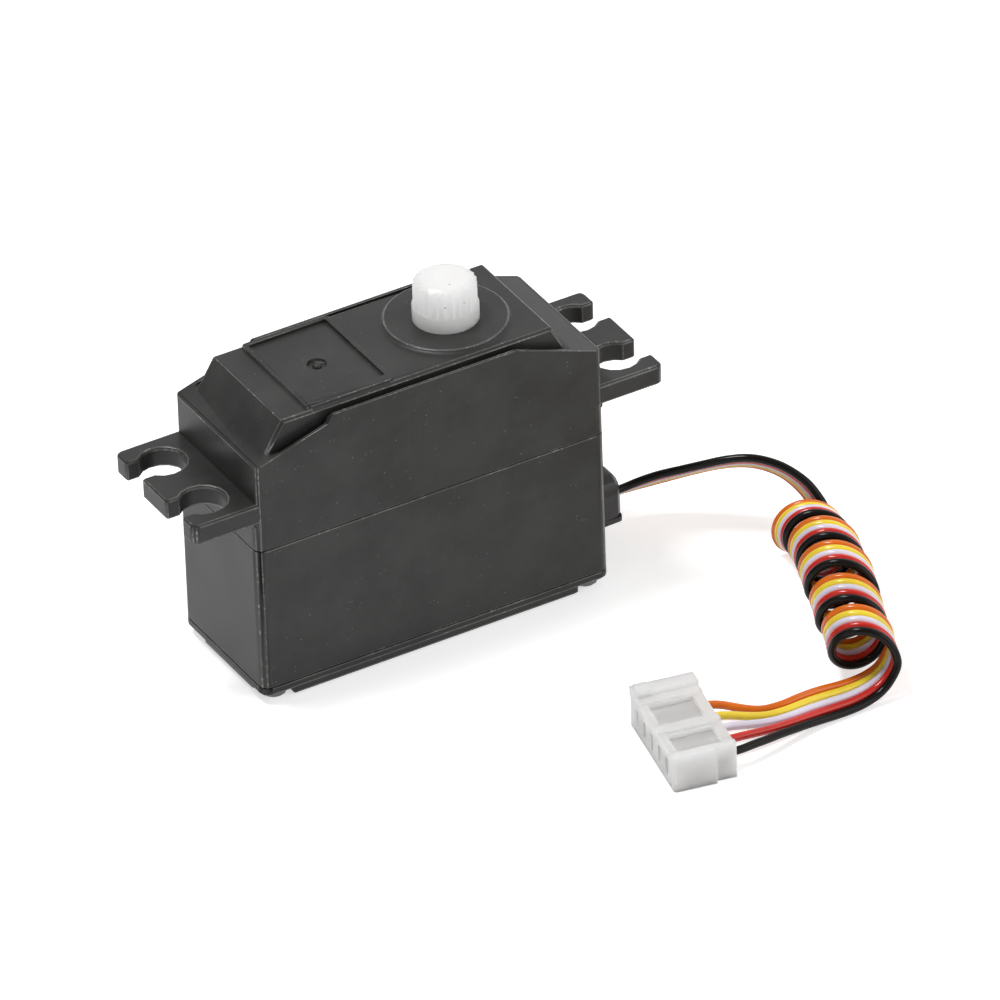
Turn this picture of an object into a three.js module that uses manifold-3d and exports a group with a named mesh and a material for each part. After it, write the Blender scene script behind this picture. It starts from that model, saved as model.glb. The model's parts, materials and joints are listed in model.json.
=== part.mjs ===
// Steering servo with a five-wire ribbon lead, in millimetres.
// X runs towards the lead, Y towards the back and Z up. The origin is on the
// surface the servo stands on, under the middle of its case.
import * as THREE from 'three';
import { mergeVertices } from 'three/addons/utils/BufferGeometryUtils.js';
import Module from 'manifold-3d';

const wasm = await Module();
wasm.setup();

// Case
const CASE_LENGTH = 36.9;
const CASE_WIDTH = 15.0;
const CASE_CORNER = 1.0;
const UPPER_CORNER = 0.55;
const UPPER_INSET = 0.2;
const COVER_SPLIT = 1.75;
const TOP_SPLIT = 16.91;
const SPLIT_GAP = 0.12;
const CASE_WALL = 1.1;
const TOP_CASE_WALL = 0.9;
const TOP_END_LENGTH = 5.45;
const DECK_THICKNESS = 1.7;
const FIT = 0.1;

// Bottom cover
const PAD_HEIGHT = 0.8;
const PAD_INSET_END = 0.4;
const PAD_INSET_SIDE = 0.2;
const PAD_CORNER = 0.3;
const COVER_FLOOR = 1.1;
const COVER_EDGE = 0.25;
const COVER_LIP_HEIGHT = 0.7;
const COVER_LIP_THICKNESS = 0.8;

// Outline of the top case seen from the front
const LEFT_EAVE = 26.05;
const LEFT_STEP_X = -10.6;
const LEFT_STEP_Z = 28.34;
const RIDGE_LEFT_X = -10.08;
const RIDGE_RIGHT_X = 9.32;
const RIDGE_Z = 29.18;
const RIGHT_EAVE = 25.95;
const EAVE_RADIUS = 0.5;
const STEP_RADIUS = 0.15;
const RIDGE_LEFT_RADIUS = 0.35;
const RIDGE_RIGHT_RADIUS = 1.2;
const PARAPET = 0.35;
const GROOVE_DEPTH = 0.6;
const GROOVE_RUN_OUT = 1.6;

// Raised block, label frame and boss on the roof
const BLOCK_TOP = 29.6;
const BLOCK_HALF_WIDTH = 6.5;
const BLOCK_LEFT_TOP = -14.75;
const BLOCK_LEFT_FOOT = -16.6;
const BLOCK_RIGHT_TOP = 13.7;
const BLOCK_RIGHT_FOOT = 15.0;
const BLOCK_FOOT_Z = 26.6;
const BLOCK_EDGE = 0.3;
const BLOCK_CORNER = 0.35;
const BLOCK_SUNK = 0.65;
const FRAME_LEFT = -11.9;
const FRAME_RIGHT = -2.8;
const FRAME_HEIGHT = 0.32;
const FRAME_RIM = 0.45;
const FRAME_FRONT_RIM = 0.9;
const GATE_X = -7.4;
const GATE_RADIUS = 0.95;
const GATE_DEPTH = 0.3;
const BOSS_RADIUS = 6.18;
const BOSS_TOP = 30.05;
const BOSS_BEVEL = 0.4;

// Mounting ears
const EAR_LENGTH = 6.4;
const EAR_HALF_WIDTH = 7.4;
const EAR_BOTTOM = 20.0;
const EAR_THICKNESS = 2.1;
const EAR_HOLE_INSET = 3.0;
const EAR_HOLE_Y = 3.75;
const EAR_HOLE_RADIUS = 2.18;
const EAR_MOUTH_INNER = 2.3;
const EAR_MOUTH_OUTER = 5.15;
const EAR_CORNER = 0.7;
const EAR_EDGE = 0.2;
const EAR_FILLET = 0.5;
const EAR_ROOT = 0.9;

// Case screws
const SCREW_INSET_X = 1.85;
const SCREW_INSET_Y = 1.57;
const SCREW_HEAD_RADIUS = 1.2;
const SCREW_HEAD_HEIGHT = 0.7;
const SCREW_RADIUS = 0.72;
const SCREW_TIP = 23.5;
const SCREW_POST_RADIUS = 1.9;
const SCREW_RECESS = 0.45;
const SCREW_SLOT = 0.28;

// Gear train: the motor pinion drives wheel and pinion pairs on two axes
const PRESSURE_ANGLE = THREE.MathUtils.degToRad(20);
const ADDENDUM_SHARE = 0.9;
const DEDENDUM_SHARE = 1.2;
const BACKLASH = 0.05;
const FINE_MODULE = 0.3;
const OUTPUT_MODULE = 0.36;
const MOTOR_TEETH = 8;
const MOTOR_SHIFT_SHARE = 0.4;
const FIRST_WHEEL_TEETH = 40;
const SMALL_TEETH = 13;
const LARGE_TEETH = 41;
const THIRD_SMALL_TEETH = 14;
const OUTPUT_TEETH = 31;
const SMALL_SHIFT_SHARE = 0.3;
const OUTPUT_X = 6.22;
const WHEEL_FACE = 1.4;
const OUTPUT_FACE = 2.0;
const STACK_GAP = 0.6;
const END_PLAY = 0.3;
const DECK_BOSS = 0.45;
const AXLE_RADIUS = 0.75;
const AXLE_SEAT = 1.25;
const RUNNING_FIT = 0.06;
const PRESS_GAP = 0.03;
const WEB_RECESS = 0.35;

// Output shaft
const JOURNAL_RADIUS = 3.135;
const COLLAR_HEIGHT = 1.5;
const COLLAR_EDGE = 0.15;
const SPLINE_TEETH = 25;
const SPLINE_RADIUS = 3.0;
const SPLINE_DEPTH = 0.16;
const SHAFT_TOP = 34.2;
const SHAFT_DOME_RADIUS = 2.2;
const SHAFT_DOME_DROP = 0.45;
const SHAFT_DIMPLE_RADIUS = 0.7;
const SHAFT_DIMPLE_DEPTH = 0.15;
const HUB_THICKNESS = 0.5;
const HUB_RADIUS = 4.2;

// Motor
const CAN_SIDE_GAP = 0.4;
const CAN_WALL = 0.5;
const CAN_COVER_GAP = 0.95;
const CAN_DECK_GAP = 0.15;
const MOTOR_BOSS_RADIUS = 1.9;
const MOTOR_BOSS_HEIGHT = 0.9;
const MOTOR_SHAFT_RADIUS = 0.5;
const BUSHING_RADIUS = 1.3;
const BUSHING_SEAT = 0.4;
const MAGNET_THICKNESS = 1.1;
const MAGNET_SPAN = THREE.MathUtils.degToRad(136);
const ROTOR_GAP = 0.35;
const ROTOR_TOP_GAP = 1.7;
const ROTOR_BOTTOM_GAP = 0.8;
const WINDING_OVERHANG = 0.7;
const POLES = 3;
const COMMUTATOR_RADIUS = 1.25;
const COMMUTATOR_LENGTH = 1.5;
const END_CAP_THICKNESS = 1.0;
const TERMINAL_Y = 4.2;
const MOTOR_SCREW_Y = 4.0;
const MOTOR_SCREW_RADIUS = 0.7;
const MOTOR_SCREW_HEAD = 1.15;
const MOTOR_SCREW_HEAD_HEIGHT = 0.5;
const CORE_SHARE = 0.34;
const SHOE_SHARE = 0.17;
const WINDING_SHARE = 0.1;
const SHOE_GAP = 0.7;
const ARM_WIDTH = 0.9;
const WINDING_WIDTH = 2.1;
const TERMINAL_WIDTH = 1.6;
const TERMINAL_THICKNESS = 0.3;
const BRUSH_THICKNESS = 0.5;

// Potentiometer
const POT_LENGTH = 10.4;
const POT_SIDE_GAP = 1.4;
const POT_HEIGHT = 4.6;
const POT_BORE = 4.3;
const POT_FLOOR = 0.9;
const POT_COVER = 0.6;
const POT_SHAFT_RADIUS = 1.4;
const POT_FLAT = 0.45;
const POT_TERMINAL_PITCH = 2.5;
const POT_TERMINAL = 2;
const POT_TERMINAL_WIDTH = 1;
const POT_TRACK = 0.5;
const WIPER_SHEET = 0.2;
const WIPER_WIDTH = 1.2;

// Ribbon lead: five bonded wires
const WIRE = 0.8;
const WIRES = ['black', 'red', 'white', 'yellow', 'orange'];
const BONE = 0.14;
const RIDGE_FLAT = 0.25;
const RIDGE_FOOT = 0.85;
const HOLLOW = 0.4;
const LEAD_PITCH = 0.9;
const CORD_GAP = 0.3;
const FLOOR_CLEARANCE = 0.04;

// Grommet
const GROMMET_TIP = 22.9;
const GROMMET_HALF_WIDTH = 2.55;
const GROMMET_BOTTOM = 2.4;
const GROMMET_TOP = 7.5;
const GROMMET_NECK = 2.3;
const GROMMET_FLANGE = 0.8;
const GROMMET_EDGE = 0.45;
const GROMMET_TAPER = 0.1;
const GROMMET_ROUND = 1.7;
const GROMMET_LIP = 0.12;
const GROMMET_LIP_HEIGHT = 0.65;
const SLOT_Z = 4.3;
const SLOT_TILT = THREE.MathUtils.degToRad(38);
const SLOT_CLEARANCE = 0.06;

// Coil in the lead: where each whole turn lies along and beside the coil's axis, how far
// its ribbon leans out of the axis and its radius
const COIL_TURNS = 5;
const COIL_YAW = 0.324;
const COIL_MIDDLE = [33.65, -23.15];
const COIL_ALONG = [-11.6, -8.8, -4.8, 0, 5.14, 10.26, 15.4];
const COIL_ASIDE = [-0.45, -0.34, -0.02, 0.4, 0.3, 0.13, -0.1];
const COIL_LEAN = [0.44, 0.54, 0.4, 0.12, 0, 0, 0];
const COIL_RADIUS = [2.8, 2.66, 2.75, 2.8, 2.8, 2.75, 2.75];
const COIL_START = THREE.MathUtils.degToRad(80);
const COIL_END = THREE.MathUtils.degToRad(105);
const COIL_STEPS = 15;

// Connector
const PLUG_PITCH = 2.0;
const PLUG_WIDTH = 11.9;
const PLUG_LENGTH = 6.2;
const PLUG_HEIGHT = 3.5;
const PLUG_X = 10.3;
const PLUG_Y = -34.4;
const PLUG_YAW = THREE.MathUtils.degToRad(-11);
const CAVITY_WIDTH = 1.4;
const CAVITY_HEIGHT = 1.6;
const CAVITY_Z = 1.65;
const SLIT_WIDTH = 0.6;
const SLIT_WALL = 0.8;
const PLUG_EDGE = 0.25;
const KEY_RIB_HEIGHT = 0.7;
const KEY_RIB_WIDTH = 1.5;
const KEY_STEP_WIDTH = 1;
const LOW_RIB_HEIGHT = 0.3;
const LOW_RIB_WIDTH = 0.95;
const POCKET_DEPTH = 0.45;
const CORNER_STEP = 0.35;
const CONTACT_SHEET = 0.2;
const SOCKET_LENGTH = 2.4;
const CRIMP_LENGTH = 1.4;

// Places worked out from the driving sizes
const coverTop = COVER_SPLIT - SPLIT_GAP / 2;
const middleBottom = COVER_SPLIT + SPLIT_GAP / 2;
const deckTop = TOP_SPLIT - SPLIT_GAP / 2;
const deckBottom = deckTop - DECK_THICKNESS;
const topBottom = TOP_SPLIT + SPLIT_GAP / 2;
const halfLength = CASE_LENGTH / 2;
const halfWidth = CASE_WIDTH / 2;
const fineCentres = FINE_MODULE * (SMALL_TEETH + LARGE_TEETH) / 2;
const middleX = OUTPUT_X - fineCentres;
const motorX = middleX - FINE_MODULE * (MOTOR_TEETH + FIRST_WHEEL_TEETH) / 2;
const levelStep = WHEEL_FACE + STACK_GAP;
const firstLevel = deckTop + DECK_BOSS + END_PLAY;
const secondLevel = firstLevel + levelStep;
const thirdLevel = secondLevel + levelStep;
const outputLevel = thirdLevel + levelStep;
const outputTop = outputLevel + OUTPUT_FACE;
const gearCeiling = outputTop + HUB_THICKNESS + END_PLAY;
const canTop = deckBottom - CAN_DECK_GAP;
const canRadius = halfWidth - CASE_WALL - CAN_SIDE_GAP;
const canBottom = COVER_SPLIT + CAN_COVER_GAP;
const rotorBottom = canBottom + END_CAP_THICKNESS + COMMUTATOR_LENGTH + ROTOR_BOTTOM_GAP;
const rotorTop = canTop - CAN_WALL - BUSHING_SEAT - ROTOR_TOP_GAP;
const potWidth = CASE_WIDTH - 2 * (CASE_WALL + POT_SIDE_GAP);
const screwX = halfLength - SCREW_INSET_X;
const screwY = halfWidth - SCREW_INSET_Y;
const earReach = halfLength + EAR_LENGTH;
const earHoleX = earReach - EAR_HOLE_INSET;

// Materials
const paint = (color, roughness, metalness = 0) =>
  new THREE.MeshStandardMaterial({ color, roughness, metalness });
const materials = {
  case: paint(0x4a4a49, 0.62),
  nylon: paint(0xf0efea, 0.4),
  gear: paint(0xe9e6dc, 0.45),
  rubber: paint(0x1c1c1c, 0.7),
  steel: paint(0xb9bcc0, 0.3, 1),
  screw: paint(0x3a3c40, 0.35, 1),
  copper: paint(0xb06a3b, 0.35, 1),
  bronze: paint(0xb08a4a, 0.4, 1),
  ferrite: paint(0x3b3a3a, 0.6),
  board: paint(0x3f2f25, 0.6),
  plug: paint(0xf2f2ee, 0.35),
  black: paint(0x242021, 0.35),
  red: paint(0xd62d1e, 0.35),
  white: paint(0xe2dcec, 0.35),
  yellow: paint(0xfdde46, 0.35),
  orange: paint(0xde6414, 0.35),
};

// A closed three.js geometry as a solid, with its faces turned outwards.
function solid(geometry) {
  const bare = geometry.clone();
  bare.deleteAttribute('normal');
  bare.deleteAttribute('uv');
  const welded = mergeVertices(bare, 1e-5);
  const points = welded.attributes.position.array;
  const faces = [];
  for (let i = 0; i < welded.index.count; i += 3) {
    const [a, b, c] = welded.index.array.slice(i, i + 3);
    if (a !== b && b !== c && c !== a) faces.push([a, b, c]);
  }
  const corner = (index) => new THREE.Vector3().fromArray(points, 3 * index);
  const volume = faces.reduce(
    (sum, [a, b, c]) => sum + corner(a).dot(corner(b).cross(corner(c))), 0);
  if (volume < 0) faces.forEach((face) => face.reverse());
  const mesh = new wasm.Mesh({
    numProp: 3,
    vertProperties: Float32Array.from(points),
    triVerts: Uint32Array.from(faces.flat()),
  });
  return new wasm.Manifold(mesh);
}

const join = (...solids) => solids.reduce((whole, next) => whole.add(next));
const cut = (base, ...tools) => tools.reduce((rest, tool) => rest.subtract(tool), base);

// A solid back as a three.js geometry.
function geometryOf(piece) {
  const { vertProperties, triVerts } = piece.getMesh();
  const geometry = new THREE.BufferGeometry();
  geometry.setAttribute('position', new THREE.BufferAttribute(vertProperties, 3));
  geometry.setIndex(new THREE.BufferAttribute(triVerts, 1));
  geometry.computeVertexNormals();
  return geometry;
}

const servo = new THREE.Group();

function add(name, piece, material, parent = servo) {
  const mesh = new THREE.Mesh(geometryOf(piece), materials[material].clone());
  mesh.name = name;
  parent.add(mesh);
  return mesh;
}

// Corner points [x, y, radius] as an outline whose corners are arcs.
function rounded(corners, segments = 3) {
  const points = [];
  corners.forEach(([x, y, radius = 0], i) => {
    const here = new THREE.Vector2(x, y);
    const [px, py] = corners[(i + corners.length - 1) % corners.length];
    const [nx, ny] = corners[(i + 1) % corners.length];
    if (radius === 0) {
      points.push(here);
      return;
    }
    const before = new THREE.Vector2(px, py).sub(here).normalize();
    const after = new THREE.Vector2(nx, ny).sub(here).normalize();
    const half = Math.acos(THREE.MathUtils.clamp(before.dot(after), -1, 1)) / 2;
    const centre = before.clone().add(after).normalize().multiplyScalar(radius / Math.sin(half));
    centre.add(here);
    const from = here.clone().addScaledVector(before, radius / Math.tan(half)).sub(centre);
    const sweep = Math.sign(after.cross(before)) * (Math.PI - 2 * half);
    for (let k = 0; k <= segments; k += 1) {
      const turned = from.clone().rotateAround(new THREE.Vector2(), sweep * k / segments);
      points.push(turned.add(centre));
    }
  });
  return points;
}

const rectangle = (x0, x1, y0, y1, radius = 0, segments = 3) =>
  rounded([[x0, y0, radius], [x1, y0, radius], [x1, y1, radius], [x0, y1, radius]], segments);

const centred = (length, width, radius = 0, segments = 3) =>
  rectangle(-length / 2, length / 2, -width / 2, width / 2, radius, segments);

// An outline in XY raised from z0 to z1, with an optional round edge at both ends.
function prism(points, z0, z1, holes = [], edge = 0) {
  const shape = new THREE.Shape(points);
  holes.forEach((hole) => shape.holes.push(new THREE.Path(hole)));
  const geometry = new THREE.ExtrudeGeometry(shape, {
    depth: z1 - z0 - 2 * edge,
    bevelEnabled: edge > 0,
    bevelThickness: edge,
    bevelSize: edge,
    bevelOffset: -edge,
    bevelSegments: 1,
    curveSegments: 1,
  });
  geometry.translate(0, 0, z0 + edge);
  return solid(geometry);
}

// An outline in XZ carried along Y, and one in YZ carried along X.
const onto = (xAxis, yAxis, zAxis) => new THREE.Matrix4().makeBasis(xAxis, yAxis, zAxis);
const AXIS_X = new THREE.Vector3(1, 0, 0);
const AXIS_Y = new THREE.Vector3(0, 1, 0);
const AXIS_Z = new THREE.Vector3(0, 0, 1);

function prismAlongY(points, y0, y1, edge = 0) {
  const upright = prism(points, -y1, -y0, [], edge);
  return transformed(upright, onto(AXIS_X, AXIS_Z, AXIS_Y.clone().negate()));
}

function prismAlongX(points, x0, x1, edge = 0) {
  return transformed(prism(points, x0, x1, [], edge), onto(AXIS_Y, AXIS_Z, AXIS_X));
}

function transformed(piece, matrix) {
  return solid(geometryOf(piece).applyMatrix4(matrix));
}

const moved = (piece, x, y, z = 0) =>
  transformed(piece, new THREE.Matrix4().makeTranslation(x, y, z));

const box = (x0, x1, y0, y1, z0, z1) => prism(rectangle(x0, x1, y0, y1), z0, z1);

// A profile [radius, z] turned about the upright axis through (x, y).
function turned(profile, x = 0, y = 0, segments = 24) {
  const points = profile.map(([radius, z]) => new THREE.Vector2(radius, z));
  const geometry = new THREE.LatheGeometry(points, segments);
  geometry.rotateX(Math.PI / 2);
  geometry.translate(x, y, 0);
  return solid(geometry);
}

const rod = (radius, z0, z1, x = 0, y = 0, segments = 16) =>
  turned([[0, z0], [radius, z0], [radius, z1], [0, z1]], x, y, segments);

const ring = (inner, outer, z0, z1, x = 0, y = 0, segments = 20) =>
  turned([[inner, z0], [outer, z0], [outer, z1], [inner, z1], [inner, z0]], x, y, segments);

const corners = [[1, 1], [1, -1], [-1, 1], [-1, -1]];

// Half-angle of an involute tooth of gear teeth at a radius, and its outline.
const involute = (angle) => Math.tan(angle) - angle;

function gearOutline(teeth, module, shift, phase) {
  const pitch = module * teeth / 2;
  const base = pitch * Math.cos(PRESSURE_ANGLE);
  const tip = pitch + module * (ADDENDUM_SHARE + shift);
  const root = pitch - module * (DEDENDUM_SHARE - shift);
  const width = module * (Math.PI / 2 + 2 * shift * Math.tan(PRESSURE_ANGLE)) - BACKLASH;
  const halfAngle = (radius) => width / (2 * pitch) + involute(PRESSURE_ANGLE)
    - involute(Math.acos(base / Math.max(radius, base)));
  const middle = (Math.max(base, root) + tip) / 2;
  const radii = teeth < 20 ? [root, middle, tip] : [root, tip];
  const points = [];
  for (let tooth = 0; tooth < teeth; tooth += 1) {
    const centre = phase + 2 * Math.PI * tooth / teeth;
    const flank = (side) => radii.map((radius) => {
      const angle = centre + side * halfAngle(radius);
      return new THREE.Vector2(radius * Math.cos(angle), radius * Math.sin(angle));
    });
    points.push(...flank(-1), ...flank(1).reverse());
  }
  return points;
}

// A gap of a gear with these teeth faces the given direction.
const gapTowards = (direction, teeth) => direction - Math.PI / teeth;

// A wheel with its smaller gear above it on one hub, bored for the axle.
function gearPair(wheel, small, bottom, face, top, x) {
  const disc = prism(gearOutline(...wheel), bottom, bottom + face);
  const pinion = prism(gearOutline(...small), bottom, top);
  const rootOf = ([teeth, module, shift]) => module * (teeth / 2 - DEDENDUM_SHARE + shift);
  const hub = rootOf(small) + 3 * small[1];
  const web = ring(hub, rootOf(wheel) - 2 * wheel[1], bottom - 1, bottom + WEB_RECESS, 0, 0, 16);
  const bore = rod(AXLE_RADIUS + RUNNING_FIT, bottom - 1, top + 1, 0, 0, 16);
  return moved(cut(join(disc, pinion), web, bore), x, 0);
}

function buildGears() {
  const firstWheel = [FIRST_WHEEL_TEETH, FINE_MODULE, -MOTOR_SHIFT_SHARE,
    gapTowards(Math.PI, FIRST_WHEEL_TEETH)];
  const firstSmall = [SMALL_TEETH, FINE_MODULE, SMALL_SHIFT_SHARE, 0];
  const secondWheel = [LARGE_TEETH, FINE_MODULE, -SMALL_SHIFT_SHARE, gapTowards(Math.PI, LARGE_TEETH)];
  const secondSmall = [SMALL_TEETH, FINE_MODULE, SMALL_SHIFT_SHARE, Math.PI];
  const thirdWheel = [LARGE_TEETH, FINE_MODULE, -SMALL_SHIFT_SHARE, gapTowards(0, LARGE_TEETH)];
  const thirdSmall = [THIRD_SMALL_TEETH, OUTPUT_MODULE, SMALL_SHIFT_SHARE, 0];
  add('first_gear', gearPair(firstWheel, firstSmall, firstLevel, WHEEL_FACE,
    thirdLevel - END_PLAY, middleX), 'gear');
  add('second_gear', gearPair(secondWheel, secondSmall, secondLevel, WHEEL_FACE,
    outputLevel - END_PLAY, OUTPUT_X), 'gear');
  add('third_gear', gearPair(thirdWheel, thirdSmall, thirdLevel, WHEEL_FACE,
    outputTop + END_PLAY, middleX), 'gear');

  const pinionTeeth = prism(gearOutline(MOTOR_TEETH, FINE_MODULE, MOTOR_SHIFT_SHARE, 0),
    firstLevel - END_PLAY, firstLevel + WHEEL_FACE + END_PLAY);
  const pinionBore = rod(MOTOR_SHAFT_RADIUS + PRESS_GAP, firstLevel - 1, firstLevel + levelStep);
  add('motor_pinion', moved(cut(pinionTeeth, pinionBore), motorX, 0), 'bronze');

  const axleBottom = deckTop - AXLE_SEAT;
  const axleTop = gearCeiling + AXLE_SEAT;
  add('middle_axle', rod(AXLE_RADIUS, axleBottom + PRESS_GAP, axleTop - PRESS_GAP, middleX),
    'steel');
}

// Output gear, journal, collar and splined end in one nylon moulding.
function buildOutput() {
  const wheelTeeth = [OUTPUT_TEETH, OUTPUT_MODULE, -SMALL_SHIFT_SHARE,
    gapTowards(Math.PI, OUTPUT_TEETH)];
  const wheel = prism(gearOutline(...wheelTeeth), outputLevel, outputTop);
  const collarTop = BOSS_TOP + COLLAR_HEIGHT;
  const journal = turned([
    [0, outputLevel + HUB_THICKNESS],
    [HUB_RADIUS, outputLevel + HUB_THICKNESS],
    [HUB_RADIUS, outputTop + HUB_THICKNESS],
    [JOURNAL_RADIUS, outputTop + HUB_THICKNESS],
    [JOURNAL_RADIUS, collarTop - COLLAR_EDGE],
    [SPLINE_RADIUS - SPLINE_DEPTH, collarTop],
    [0, collarTop],
  ], 0, 0, 32);
  const splineRoot = SPLINE_RADIUS - SPLINE_DEPTH;
  const spline = [];
  for (let tooth = 0; tooth < SPLINE_TEETH; tooth += 1) {
    const at = (share, radius) => {
      const angle = 2 * Math.PI * (tooth + share) / SPLINE_TEETH;
      spline.push(new THREE.Vector2(radius * Math.cos(angle), radius * Math.sin(angle)));
    };
    at(0, splineRoot);
    at(0.3, splineRoot);
    at(0.65, SPLINE_RADIUS);
  }
  const dome = turned([
    [0, collarTop - COLLAR_EDGE],
    [SPLINE_RADIUS + FIT, collarTop - COLLAR_EDGE],
    [SPLINE_RADIUS + FIT, SHAFT_TOP - SHAFT_DOME_DROP],
    [SHAFT_DOME_RADIUS, SHAFT_TOP],
    [SHAFT_DIMPLE_RADIUS, SHAFT_TOP],
    [0, SHAFT_TOP - SHAFT_DIMPLE_DEPTH],
  ], 0, 0, 25);
  const splined = prism(spline, collarTop - 2 * COLLAR_EDGE, SHAFT_TOP + 1).intersect(dome);
  const keyBottom = outputLevel - 1;
  const keyTop = outputTop + HUB_THICKNESS + END_PLAY;
  const key = potKey(AXLE_RADIUS + RUNNING_FIT, POT_FLAT + RUNNING_FIT, keyBottom, keyTop);
  const web = ring(HUB_RADIUS / 2, OUTPUT_MODULE * (OUTPUT_TEETH / 2 - 3),
    outputLevel - 1, outputLevel + WEB_RECESS, 0, 0, 16);
  add('output_gear', moved(cut(join(wheel, journal, splined), key, web), OUTPUT_X, 0), 'nylon');
}

// A round bar with one flat, which turns the potentiometer with the output gear.
function potKey(radius, flat, z0, z1) {
  const wide = 2 * radius;
  return cut(rod(radius, z0, z1), box(-wide, wide, flat, wide, z0 - 1, z1 + 1));
}

function buildCase() {
  const plan = centred(CASE_LENGTH, CASE_WIDTH, CASE_CORNER);
  const inner = (wall) => centred(CASE_LENGTH - 2 * wall, CASE_WIDTH - 2 * wall, CASE_CORNER / 2);
  const screwHoles = (z0, z1) => corners.map(([sx, sy]) =>
    rod(SCREW_RADIUS + FIT, z0, z1, sx * screwX, sy * screwY, 12));

  // Bottom cover: a flush flange over a pad whose corners clear the screw heads
  const notchX = screwX - SCREW_HEAD_RADIUS - 2 * FIT;
  const notchY = screwY - SCREW_HEAD_RADIUS - 2 * FIT;
  const padX = halfLength - PAD_INSET_END;
  const padY = halfWidth - PAD_INSET_SIDE;
  const padCorners = [[notchX, padY], [notchX, notchY], [padX, notchY]];
  const mirrored = (list, sx, sy) => list.map(([x, y]) => [sx * x, sy * y, PAD_CORNER]);
  const padOutline = rounded([
    ...mirrored(padCorners.toReversed(), 1, 1), ...mirrored(padCorners, -1, 1),
    ...mirrored(padCorners.toReversed(), -1, -1), ...mirrored(padCorners, 1, -1),
  ], 2);
  const pad = prism(padOutline, 0, PAD_HEIGHT + 2 * COVER_EDGE, [], COVER_EDGE);
  const flange = cut(prism(plan, PAD_HEIGHT, coverTop + 1, [], COVER_EDGE),
    box(-halfLength - 1, halfLength + 1, -halfWidth - 1, halfWidth + 1, coverTop, coverTop + 2));
  const lipX = screwX - 1.5 * SCREW_POST_RADIUS;
  const lipY = halfWidth - CASE_WALL - FIT;
  const lips = [-1, 1].map((side) => {
    const [low, high] = [side * lipY, side * (lipY - COVER_LIP_THICKNESS)].sort((a, b) => a - b);
    return box(-lipX, lipX, low, high, COVER_FLOOR, coverTop + COVER_LIP_HEIGHT);
  });
  const trayX = screwX - SCREW_POST_RADIUS - FIT;
  const tray = prism(rectangle(-trayX, trayX, 2 * FIT - lipY, lipY - 2 * FIT, CASE_CORNER / 2),
    COVER_FLOOR, coverTop + 1);
  const cover = join(cut(join(pad, flange), tray), ...lips);
  add('bottom_cover', cut(cover, ...screwHoles(-1, coverTop + 1)), 'case');

  // Middle case: open below, with a deck for the gears and four screw posts
  const shell = cut(prism(plan, middleBottom, deckTop),
    prism(inner(CASE_WALL), middleBottom - 1, deckBottom));
  const postSpace = prism(inner(CASE_WALL / 2), middleBottom - 1, deckTop);
  const posts = corners.map(([sx, sy]) => rod(SCREW_POST_RADIUS, middleBottom,
    deckTop - DECK_THICKNESS / 2, sx * screwX, sy * screwY, 14).intersect(postSpace));
  const deckBoss = ring(AXLE_RADIUS, 2 * AXLE_RADIUS, deckTop - DECK_BOSS, deckTop + DECK_BOSS,
    middleX);
  const deckHoles = [
    rod(AXLE_RADIUS + PRESS_GAP, deckTop - AXLE_SEAT, deckTop + 1, middleX),
    rod(MOTOR_BOSS_RADIUS + FIT, deckBottom - 1, deckTop + 1, motorX),
    rod(POT_SHAFT_RADIUS + RUNNING_FIT, deckBottom - 1, deckTop + 1, OUTPUT_X),
    ...[-1, 1].map((side) => rod(MOTOR_SCREW_RADIUS + FIT, deckBottom - 1, deckTop + 1,
      motorX, side * MOTOR_SCREW_Y, 16)),
  ];
  const notch = box(halfLength - 2 * CASE_WALL, halfLength + 1, -GROMMET_NECK - FIT,
    GROMMET_NECK + FIT, middleBottom - 1, GROMMET_TOP - GROMMET_FLANGE / 2 + FIT);
  const potStops = [-1, 1].map((side) => {
    const [low, high] = [side * (potWidth / 2 + 2 * FIT), side * (halfWidth - CASE_WALL / 2)]
      .sort((a, b) => a - b);
    return box(OUTPUT_X - 3, OUTPUT_X + 3, low, high, deckBottom - POT_HEIGHT, deckBottom + 0.5);
  });
  add('middle_case', cut(join(shell, ...posts, deckBoss, ...potStops),
    ...deckHoles, ...screwHoles(0, deckTop + 1), notch), 'case');

  add('top_case', buildTopCase(plan, screwHoles), 'case');
}

// Height of the roof's front and back walls at a place along the case.
const roofCorners = [
  [-halfLength, LEFT_EAVE, EAVE_RADIUS],
  [LEFT_STEP_X, LEFT_STEP_Z, STEP_RADIUS],
  [RIDGE_LEFT_X, RIDGE_Z, RIDGE_LEFT_RADIUS],
  [RIDGE_RIGHT_X, RIDGE_Z, RIDGE_RIGHT_RADIUS],
  [halfLength, RIGHT_EAVE, EAVE_RADIUS],
];

function roofHeight(x) {
  const next = Math.max(1, roofCorners.findIndex(([cornerX]) => cornerX >= x));
  const [x0, z0] = roofCorners[next - 1];
  const [x1, z1] = roofCorners[next];
  return THREE.MathUtils.mapLinear(x, x0, x1, z0, z1);
}

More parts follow.
